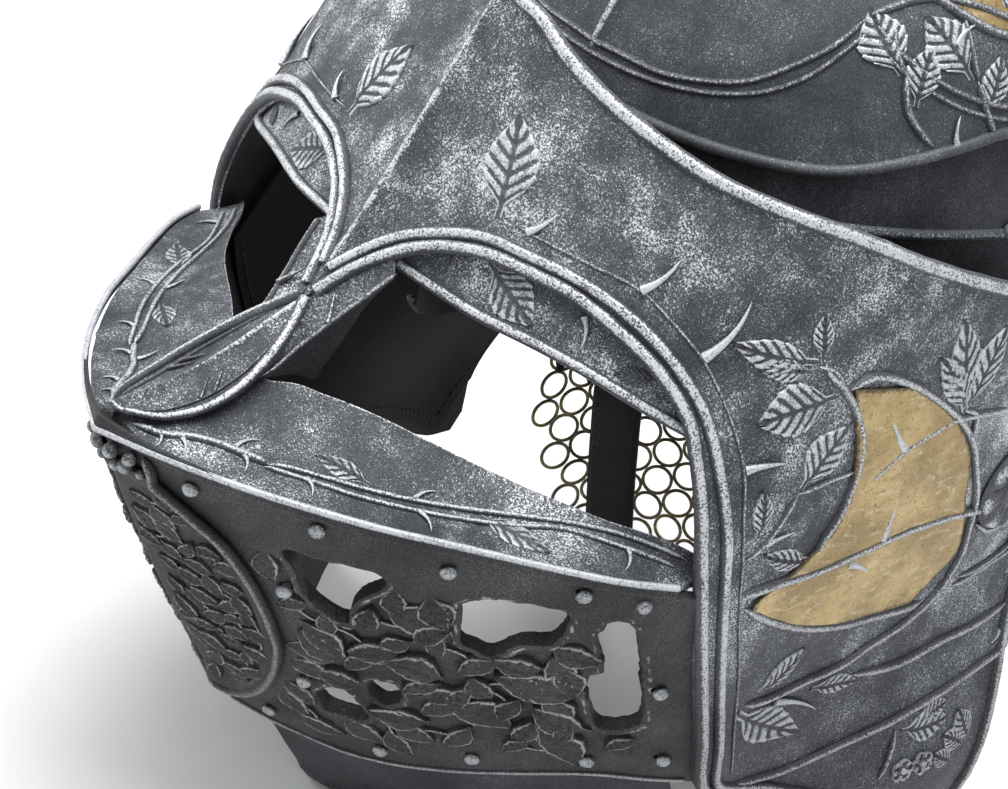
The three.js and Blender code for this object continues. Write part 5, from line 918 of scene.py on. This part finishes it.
WX = float(visor(264, PIVOT_Z)[0])
def rosette():
    M = Mesh(); C = np.array([0, PIVOT_Y, PIVOT_Z])
    nr, na = 44, 144; r = np.linspace(0, 16, nr)[:, None]; a = np.arange(na)[None] * 2 * np.pi / na
    outer = np.clip((r - 5.2) / (15.6 - 5.2), 0, 1); pa = (a * 8 / (2 * np.pi)) % 1 - .5; cup = 1 - (2 * np.abs(pa)) ** 3
    rim = sm((16 - r) / 1.2)
    h = 1.3 + rim * (1.0 + 1.9 * outer * cup * np.sin(np.pi * np.clip(outer, 0, .93)) ** .7) - .5 * np.exp(-(pa / .05) ** 2) * (outer > .05) * (outer < .8)
    boss = np.clip(1 - (r / 5.2) ** 2, 0, 1) ** .5 * 2.6; seeds = .5 * np.abs(np.sin(a * 7)) * np.exp(-((r - 3.4) / .9) ** 2)
    h = np.where(r < 5.2, 2.4 + boss + seeds, h); groove = -.9 * np.exp(-((r - 5.2) / .5) ** 2); h = np.minimum(h + groove, 6.0)
    h = np.where(r >= 15.99, 1.15, h) + 0 * a
    X = WX + h; Y = C[1] + r * np.cos(a); Z = C[2] + r * np.sin(a); P = np.stack([X, Y, Z], -1); w = np.clip(.25 + .75 * (cup ** 2) * outer * sm((16 - r) / 1.0) + .8 * (r < 4.5) + .0 * a - .8 * np.exp(-((r - 5.2) / .8) ** 2), 0, 1)
    Q = np.stack([np.full((nr, na), WX + 1.1), Y + 0 * X, Z + 0 * X], -1)
    g = grid_faces(nr, na); i = np.arange(nr - 1); wrapf = np.stack([i * na + na - 1, (i + 1) * na + na - 1, (i + 1) * na, i * na], -1); g = np.concatenate([g, wrapf])
    keep = (r > 4.3).reshape(-1)  # the hollow back takes the bolt head
    M.add(P, [g[:, :] if True else g], w.reshape(-1))
    # back face: a flat ring
    n0 = M.n; ring_o = P[-1]; ring_i = np.stack([np.full(na, WX + 1.15), C[1] + 9.4 * np.cos(a[0]), C[2] + 9.4 * np.sin(a[0])], -1)
    M.add(np.concatenate([ring_o, ring_i]), [np.stack([np.arange(na), (np.arange(na) + 1) % na, na + (np.arange(na) + 1) % na, na + np.arange(na)], -1)[:, ::-1]], .1)
    return M
L = rosette()
o = L.build("pivot_rosette_left_bloom", [M_BRIGHT], sharp=60); piece(o, "visor", ["pivot_rosette_left"])
o = L.flipped().build("pivot_rosette_right_bloom", [M_BRIGHT], sharp=60); piece(o, "visor", ["pivot_rosette_right"])
for n_ in NODES:
    if n_.startswith("pivot_") and not n_.startswith("pivot_rosette"):
        NODES[n_].data.materials.clear(); NODES[n_].data.materials.append(M_PIVOT); NODES[n_].data.set_sharp_from_angle(angle=math.radians(35)) if hasattr(NODES[n_].data, "set_sharp_from_angle") else None

# ------------------------------------------------------------------ skull
def fold(th):
    a = np.abs(np.mod(th, 2 * np.pi)); return np.where(a > np.pi, 2 * np.pi - a, a)
def skull_bowl():
    M = Mesh(); nu, nv = 420, 110; th = np.arange(nu) * 2 * np.pi / nu; v = np.linspace(0, 1, nv)
    T_, V = np.meshgrid(th, v, indexing="ij"); e = BOWL_EDGE(fold(T_))
    def rows(off):
        zt = 178 - off; Z = e + (zt - e) * np.sin(V * np.pi / 2); P = skull_at(off)(T_, Z); P[:, -1] = [0, 239, zt]; return P, Z
    P, Z = rows(0.0); Q, _ = rows(2.2)
    C = np.array([0, 239, 60.0]); N = unit(P - C)
    x = P[..., 0]; comb = np.exp(-(x / 2.0) ** 2) * sm((Z - 92) / 12)
    wob = .35 * (noise2(T_ * 9, Z * .08, 101) - .5)
    inset = -1.3
    P = P + N * (inset + 1.25 * comb + wob * .8)[..., None]; P[:, -1] = P[:, -1].mean(0)
    w = np.clip(.95 * np.exp(-(x / 1.5) ** 2) * sm((Z - 92) / 12) + .25 * np.exp(-((Z - e) / 2.0) ** 2), 0, 1)
    g = grid_faces(nu, nv, wrap=True); plate(M, P.reshape(-1, 3), Q.reshape(-1, 3), g, w.reshape(-1), 0, 1)
    return M
M_ = skull_bowl()
sk = lambda a, b: lift(skull, a, b, np.full(np.shape(a + b), -1.3), ea=.004)
def skull_curve(M, f, pts, r, step=1.4, sides=10, top=.8, low=.2, taper=(3, 3), rise=.25, lift_=0.0, seed=102, mat=2, closed=False):
    P, N = along(f, pts, step, ea=.004, scale=(104, 1)); tube(M, P + N * lift_, N, r, rise=rise, sides=sides, top=top, low=low, taper=taper, mat=mat, seed=seed, closed=closed)
SWAG1 = [[-0.03, 100.59], [0.09, 101.16], [0.24, 101.74], [0.38, 105.25], [0.47, 109.08], [0.56, 116.51], [0.64, 124.31], [0.70, 133.0]]
SWAG2 = [[0.0, 97.58], [0.16, 98.27], [0.29, 100.02], [0.41, 103.19], [0.52, 108.19], [0.61, 115.73], [0.69, 126.59], [.745, 133.5]]
for sx in (1, -1):
    f = sk
    mir = lambda pts: [[sx * a, b] for a, b in pts]
    skull_curve(M_, f, mir(SWAG1), .95, taper=(0, 4)); skull_curve(M_, f, mir(SWAG2), .85, taper=(0, 4))
    # swags and stems continue round the side and back
    for k, (a0, a1, zt, zb) in enumerate(((.72, 1.55, 133, 121), (1.55, 2.35, 131, 116), (2.35, 3.14, 128, 108))):
        t = np.linspace(0, 1, 9); q = np.stack([a0 + (a1 - a0) * t, zt - (zt - zb) * np.sin(np.pi * t) ** .8 - k * 1.5 * t], -1)
        skull_curve(M_, f, mir(q.tolist()), .95, taper=(3, 3)); skull_curve(M_, f, mir((q + [0, -3.2 + 0 * k]).tolist()), .8, taper=(3, 3))
    skull_curve(M_, f, mir([[.70, 133.5], [.76, 137.5], [.83, 141], [.95, 143], [1.12, 142], [1.3, 138]]), 1.15)
    skull_curve(M_, f, mir([[.85, 122.9], [.88, 115.0], [.93, 110.5], [.98, 107.4]]), 1.2); skull_curve(M_, f, mir([[1.06, 125.95], [1.10, 119.5], [1.15, 113.25]]), 1.1)
    skull_curve(M_, f, mir([[.85, 122.9], [.80, 129], [.78, 134.5]]), 1.0); skull_curve(M_, f, mir([[1.06, 125.95], [1.02, 133], [.98, 140]]), 1.0)
    skull_curve(M_, f, mir([[1.3, 138], [1.5, 133], [1.75, 134], [2.0, 140], [2.2, 146]]), 1.1); skull_curve(M_, f, mir([[1.5, 133], [1.52, 125], [1.58, 119.5]]), 1.0)
    skull_curve(M_, f, mir([[2.0, 140], [2.15, 133], [2.2, 125], [2.3, 114]]), 1.0); skull_curve(M_, f, mir([[2.5, 142], [2.62, 134], [2.66, 122], [2.8, 108]]), 1.0)
    def lf(b, t, w, k=0): leaf(M_, f, [sx * b[0], b[1]], [sx * t[0], t[1]], w, h=1.35, ea=.004, mat=3, top=1.0, bend=.03 * (-1) ** k)
    for k, (b, t, w) in enumerate((([.84, 122.6], [.70, 135.6], .36), ([1.04, 126], [.86, 137.6], .34), ([.90, 116], [.90, 131.5], .30), ([1.10, 118], [1.12, 133], .27), ([.95, 143], [.90, 153], .3), ([1.12, 142], [1.16, 152.5], .3),
        ([1.5, 133], [1.38, 145], .3), ([1.58, 126], [1.72, 121], .3), ([1.75, 134], [1.68, 146], .3), ([2.0, 140], [1.9, 151], .3), ([2.15, 133], [2.32, 139], .3), ([2.2, 125], [2.06, 120], .28), ([2.5, 142], [2.38, 151], .3), ([2.62, 134], [2.8, 139], .3), ([2.66, 122], [2.5, 117], .28), ([2.66, 127], [2.85, 124], .27))): lf(b, t, w, k)
    for b, t in (([1.04, 109.3], [1.03, 116.7]), ([.97, 133], [1.03, 139]), ([1.4, 135.5], [1.46, 142]), ([1.85, 136.5], [1.93, 131]), ([2.18, 129], [2.25, 131.5])): thorn(M_, f, [sx * b[0], b[1]], [sx * t[0], t[1]], 1.2, ea=.004, mat=3, top=.95)
    flower(M_, f, (sx * 1.3, 138), 5.5, ea=.004, mat=2, top=.9); flower(M_, f, (sx * 2.2, 146), 5.5, ea=.004, mat=2, top=.9); flower(M_, f, (sx * 1.95, 118), 5, ea=.004, mat=2, top=.9, turn=.3)
th_ = np.linspace(0, 2 * np.pi, 241)[:-1]
q = np.stack([th_, BOWL_EDGE(fold(th_)) + 1.6], -1); P, N = sk(q[:, 0], q[:, 1]), normal(skull, q[:, 0], q[:, 1], 1, .004)
tube(M_, P, N, 1.7, rise=.0, sides=12, top=.62, low=.1, mat=2, closed=True)
o = M_.build("skull_bowl_shell", [M_SKULL, M_INNER_SHADE, M_BRIGHT, M_LEAF], sharp=55)
piece(o, "skull", ["skull_bowl"])

# gilt panels with rolled borders at the crown's sides belong to the bowl's ornament
def crown_gilt():
    M = Mesh()
    for sx in (1, -1):
        a = np.linspace(0, 1, 46); b = np.linspace(0, 1, 26); A_, B_ = np.meshgrid(a, b, indexing="ij")
        th = .80 + .62 * A_; z0 = 143.5 - 3.5 * np.sin(np.pi * A_) ** 2 - 4 * A_; z1 = 160.5 - 7 * A_ ** 2 - 3.5 * (1 - A_) ** 3; Z = z0 + (z1 - z0) * B_
        f = sk; e = np.minimum(np.minimum(A_, 1 - A_) * 55, np.minimum(B_, 1 - B_) * 16)
        h = .55 + .22 * (noise2(A_ * 9, B_ * 5, 111) - .5)
        P = lift(f, sx * th, Z, h, 1, .004); Q = lift(f, sx * th, Z, np.full(h.shape, -.4), 1, .004); g = grid_faces(46, 26)
        if sx < 0: g = g[:, ::-1]
        plate(M, P.reshape(-1, 3), Q.reshape(-1, 3), g, sm(e / 2.5).reshape(-1), 0)
        ring = np.concatenate([np.stack([th[:, 0], z0[:, 0]], -1), np.stack([th[-1, 1:], Z[-1, 1:]], -1), np.stack([th[:, -1], z1[:, -1]], -1)[::-1], np.stack([th[0, 1:], Z[0, 1:]], -1)[::-1]])
        ring = ring[::3] * [sx, 1]; Pq = f(ring[:, 0], ring[:, 1]); Nq = normal(f, ring[:, 0], ring[:, 1], 1, .004)
        tube(M, Pq, Nq, 1.25, rise=.25, sides=10, top=.85, low=.2, mat=1, closed=True)
    return M
o = crown_gilt().build("crown_gilt_panels", [M_GILT, M_BRIGHT], sharp=50)
piece(o, "skull", [])

def skull_lame(off, low, high, th0, name, node, mat, holes=()):
    M = Mesh(); closed = th0 == 0; nu, nv = 420, 26
    th = np.arange(nu) * 2 * np.pi / nu if closed else np.linspace(th0, 2 * np.pi - th0, nu); v = np.linspace(0, 1, nv); T_, V = np.meshgrid(th, v, indexing="ij")
    l, h = low(fold(T_)), high(fold(T_)); Z = l + (h - l) * V; f = skull_at(off)
    wob = .3 * (noise2(T_ * 9 + off, Z * .1 + 50, 121) - .5) - .15
    P = f(T_, Z) + normal(f, T_, Z, 1, .004) * wob[..., None]; Q = skull_at(off + 2.2)(T_, Z)
    plate(M, P.reshape(-1, 3), Q.reshape(-1, 3), grid_faces(nu, nv, wrap=closed), (.45 * np.exp(-((Z - l) / 1.6) ** 2)).reshape(-1), 0, 1)
    q = np.stack([th, low(fold(th)) + 1.5], -1); P, N = f(q[:, 0], q[:, 1]), normal(f, q[:, 0], q[:, 1], 1, .004)
    tube(M, P, N, 1.55, rise=-.15, sides=12, top=.58, low=.08, mat=2, closed=closed)
    return M
def rivet_skull(node):
    side = 1 if node.endswith("left") else -1; th, z = (1.32, 88) if "front" in node else (2.45, 75)
    f = skull_at(4); p, n = f(side * th, z), normal(f, side * th, z, 1, .004); M = Mesh()
    dome(M, p, n, [(1.2, -9.2), (2.4, -9.2), (2.4, -8), (1.2, -7.9), (1.2, .55), (2.75, .6), (2.85, 1.1), (2.5, 1.8), (1.7, 2.4), (.6, 2.75)], sides=22, dent=.3, wear=[.1, .1, .1, .1, .1, .3, .6, .9, 1, 1])
    return M
M1 = skull_lame(4, LAME_EDGE, lambda a: BOWL_EDGE(a) + 7, 0, "", "", None)
o = M1.build("skull_lame_upper_plate", [M_LAME_SHADED, M_INNER_SHADE, M_SKULL], sharp=55); piece(o, "skull", ["skull_lame_upper"])
M2 = skull_lame(8, RIM, lambda a: LAME_EDGE(a) + 8, 1.0, "", "", None)
o = M2.build("skull_lame_lower_plate", [M_LAME_SHADED, M_INNER_SHADE, M_SKULL], sharp=55); piece(o, "skull", ["skull_lame_lower"])
for n_ in ("skull_rivet_front_left", "skull_rivet_front_right", "skull_rivet_rear_left", "skull_rivet_rear_right"):
    piece(rivet_skull(n_).build(n_ + "_head", [M_RIVET], sharp=50), "skull", [n_])

# ------------------------------------------------------------------ padded liner
def liner():
    M = Mesh(); nu, nv = 256, 90; th = np.arange(nu) * 2 * np.pi / nu; v = np.linspace(0, 1, nv); T_, V = np.meshgrid(th, v, indexing="ij")
    zs = 66 + (167 - 66) * np.sin(V * np.pi / 2)
    out = np.interp(zs, [66, 96, 105, 131, 138, 178], [15.2, 15.2, 10.2, 10.2, 7.0, 7.0])
    f = lambda off, Z: np.stack([(104 - off) * _r(Z, 178 - off) * np.sin(T_), 239 - (110 - off) * _r(Z, 178 - off) * np.cos(T_), Z], -1)
    _r = lambda Z, zt: skull_k(np.minimum(Z, zt), zt) / (np.abs(np.cos(T_)) ** 2.25 + np.abs(np.sin(T_)) ** 2.25) ** (1 / 2.25)
    P = f(out, np.minimum(zs, 178 - out)); P[:, -1] = [0, 239, 171]
    # twelve sewn channels run up to the crown, with two cross seams
    zi = 66 + (155.5 - 66) * np.sin(V * np.pi / 2); seam = np.abs((T_ * 12 / (2 * np.pi)) % 1 - .5) * 2; puff = (1 - seam ** 3.2); puff = puff * np.clip(1 - (V / .97) ** 10, 0, 1)
    cross = np.minimum(np.abs(V - .30), np.abs(V - .62)) ; puff = puff * (1 - .75 * np.exp(-(cross / .018) ** 2)); puff = puff * (.25 + .75 * sm(V / .05))
    Q = f(22.0, zi); Q[:, -1] = [0, 239, 156]; Ctr = np.array([0, 239, 70.0]); Q = Q + unit(Q - Ctr) * (1.2 - 4.6 * puff + .5 * (noise2(T_ * 12, V * 14, 131) - .5))[..., None]
    w = np.exp(-((1 - seam) / .06) ** 2) * 0 + .2 * puff
    P[:, 0, 2] = 66.4; Q[:, 0, 2] = 66.4
    plate(M, P.reshape(-1, 3), Q.reshape(-1, 3), grid_faces(nu, nv, wrap=True), w.reshape(-1), 0)
    # a bound edge
    q = skull_at(18.6)(th, np.full(nu, 68.2)); tube(M, q, np.tile([0, 0, -1.0], (nu, 1)), 2.2, rise=0, sides=10, top=.3, low=.1, mat=1, closed=True)
    return M
o = liner().build("head_liner_quilted", [M_CLOTH, M_BROWN], sharp=None)
piece(o, "skull", ["head_liner"])

# ------------------------------------------------------------------ mail, hanger band and straps
TH_M = 1.86
def hanger():
    M = Mesh(); nu = 33 * 12; th = np.linspace(TH_M, 2 * np.pi - TH_M, nu); v = np.linspace(0, 1, 14); T_, V = np.meshgrid(th, v, indexing="ij"); rim = RIM(fold(T_))
    tooth = np.abs((np.linspace(0, 17, nu) % 1) - .5) * 2; low = (rim.T - 19 + 15.0 * tooth ** 1.1).T; Z = low + (rim + 16 - low) * V
    f = skull_at(11.7); N = normal(f, T_, Z, 1, .004); wob = .25 * (noise2(T_ * 30, Z * .3 + 90, 141) - .5)
    P = f(T_, Z) + N * np.minimum(wob, .1)[..., None]; Q = f(T_, Z) - N * 1.4
    plate(M, P.reshape(-1, 3), Q.reshape(-1, 3), grid_faces(nu, 14), 0.0, 0)
    return M
o = hanger().build("mail_hanger_leather", [M_BLACK], sharp=50)
piece(o, "skull", ["mail_hanger_band"])

def mail():
    """Round wire rings in a honeycomb net, each meeting its six neighbours."""
    M = Mesh(); R, r = 5.6, .72; col, row = 10.8, 6.15
    za = -60.0 - np.arange(15) * row; za = za[za > BASE_Z + R + r + .05]
    A, B = 86.0, 92.0
    edge = lambda z: TH_M + .27 * float(sm((-66 - z) / 84))
    ph = np.arange(26) * 2 * np.pi / 26; ps = np.arange(7) * 2 * np.pi / 7
    C_, S_ = np.cos(ph)[:, None], np.sin(ph)[:, None]
    i = np.arange(26)[:, None]; j = np.arange(7)[None]; g = np.stack([i * 7 + j, ((i + 1) % 26) * 7 + j, ((i + 1) % 26) * 7 + (j + 1) % 7, i * 7 + (j + 1) % 7], -1).reshape(-1, 4)
    rr = np.random.default_rng(5)
    ths = np.linspace(TH_M - .02, 2 * np.pi - TH_M + .02, 900); rad = 1 / (np.abs(np.cos(ths)) ** 2.25 + np.abs(np.sin(ths)) ** 2.25) ** (1 / 2.25)
    c = np.stack([A * rad * np.sin(ths), 239 - B * rad * np.cos(ths)], -1); s = np.concatenate([[0], np.cumsum(np.linalg.norm(np.diff(c, axis=0), axis=1))])
    for k, z in enumerate(za):
        t0 = edge(z); s0 = np.interp(t0, ths, s); s1 = np.interp(2 * np.pi - t0, ths, s); mid = (s0 + s1) / 2
        at = mid + (np.arange(-16, 17) * 2 + (k % 2)) * col; at = at[(at > s0 + R * .9) & (at < s1 - R * .9)]
        for q in at:
            th = np.interp(q, s, ths); f = lambda t: np.array([np.interp(t, s, c[:, 0]), np.interp(t, s, c[:, 1]), z])
            p, e = f(q), unit(f(q + 2.0) - f(q - 2.0)); up = np.array([0, 0, 1.0]); out = unit(np.cross(e, up)); tilt = rr.uniform(-.22, .22); sw = rr.uniform(-.14, .14)
            X = unit(e * math.cos(tilt) + out * math.sin(tilt)); Y = unit(up * math.cos(sw) + out * math.sin(sw)); Zn = unit(np.cross(X, Y)); Y = np.cross(Zn, X)
            ctr = p + out * (.35 if (k // 2 + int(round((q - mid) / col))) % 2 else -.35); rad_ = R + r * np.cos(ps)[None]
            V = ctr + X * (rad_ * C_)[..., None] + Y * (rad_ * S_)[..., None] + Zn * (r * np.sin(ps)[None] + 0 * C_)[..., None]
            M.add(V, [g], 0.0)
    return M
o = mail().build("mail_curtain_rings", [M_MAIL], sharp=None)
piece(o, "skull", ["mail_curtain"])

def strap(side):
    M = Mesh(); pts = np.array([[-65.5, 293.5, -32], [-58, 280.6, -56], [-53.5, 284.6, -85], [-47, 289.6, -115], [-43.5, 291.6, -129]], float); C = spline(pts, step=1.5)
    across = unit(np.array([.80, .48 * .3, 0.0])); T = unit(np.gradient(C, axis=0)); Nn = unit(np.cross(across, T)); n = len(C)
    t = np.linspace(-1, 1, 15); hw = 11.1
    P = C[:, None] + (across * hw)[None, None] * t[None, :, None] + Nn[:, None] * (.75 - .35 * np.abs(t) ** 6)[None, :, None]; Q = C[:, None] + (across * hw)[None, None] * t[None, :, None] - Nn[:, None] * (.75 - .35 * np.abs(t) ** 6)[None, :, None]
    g = grid_faces(n, 15); a, b, c = P[3, 3], P[4, 3], P[4, 4]
    if np.cross(b - a, c - b) @ Nn[3] < 0: g = g[:, ::-1]
    plate(M, P.reshape(-1, 3), Q.reshape(-1, 3), g, 0.0, 0)
    for e in (-.78, .78):
        for k in range(2, n - 3, 3):
            for s_ in (1, -1): tube(M, C[k:k + 2] + across * hw * e + Nn[k:k + 2] * .62 * s_, Nn[k:k + 2] * s_, .3, rise=.1, sides=6, top=0, low=0, mat=1)
    return M if side < 0 else M.flipped()
piece(strap(-1).build("neck_strap_right_leather", [M_BLACK, M_THREAD], sharp=50), "skull", ["neck_strap_right"])
piece(strap(1).build("neck_strap_left_leather", [M_BLACK, M_THREAD], sharp=50), "skull", ["neck_strap_left"])

# ------------------------------------------------------------------ floor and light
def stage_set():
    me = bpy.data.meshes.new("floor"); s = 6.0
    me.from_pydata([(-s, -s, 0), (s, -s, 0), (s, s, 0), (-s, s, 0)], [], [(0, 1, 2, 3)]); o = bpy.data.objects.new("floor", me)
    bpy.context.scene.collection.objects.link(o); o.location.z = -.0006
    s_ = Shader("floor_paper"); n = s_.noise(3.0, 2)
    me.materials.append(s_.finish(s_.mix(n, (.83, .83, .835), (.87, .87, .87)), .9, 0.0, None, .1))
    w = bpy.data.worlds.new("studio"); bpy.context.scene.world = w; w.use_nodes = True
    b = w.node_tree.nodes["Background"]; b.inputs[0].default_value = (.93, .96, 1.0, 1); b.inputs[1].default_value = .58
    def area(name, loc, target, size, power, color=(1, 1, 1)):
        l = bpy.data.lights.new(name, "AREA"); l.shape = "RECTANGLE"; l.size, l.size_y = size; l.energy = power; l.color = color
        ob = bpy.data.objects.new(name, l); bpy.context.scene.collection.objects.link(ob); ob.location = loc
        ob.rotation_euler = (Vector(target) - Vector(loc)).to_track_quat("-Z", "Y").to_euler(); return ob
    area("key_softbox", (.12, -.30, 1.5), (0, -.02, .15), (1.1, .9), 22.0)
    area("back_softbox", (-.5, 1.0, 1.2), (0, 0, .2), (1.0, .6), 12.0)
    area("left_fill", (-1.1, -.7, .7), (0, -.05, .15), (.8, .8), 8.0)
    bpy.context.scene.view_settings.view_transform = "Standard"
stage_set()

bpy.context.view_layer.update()
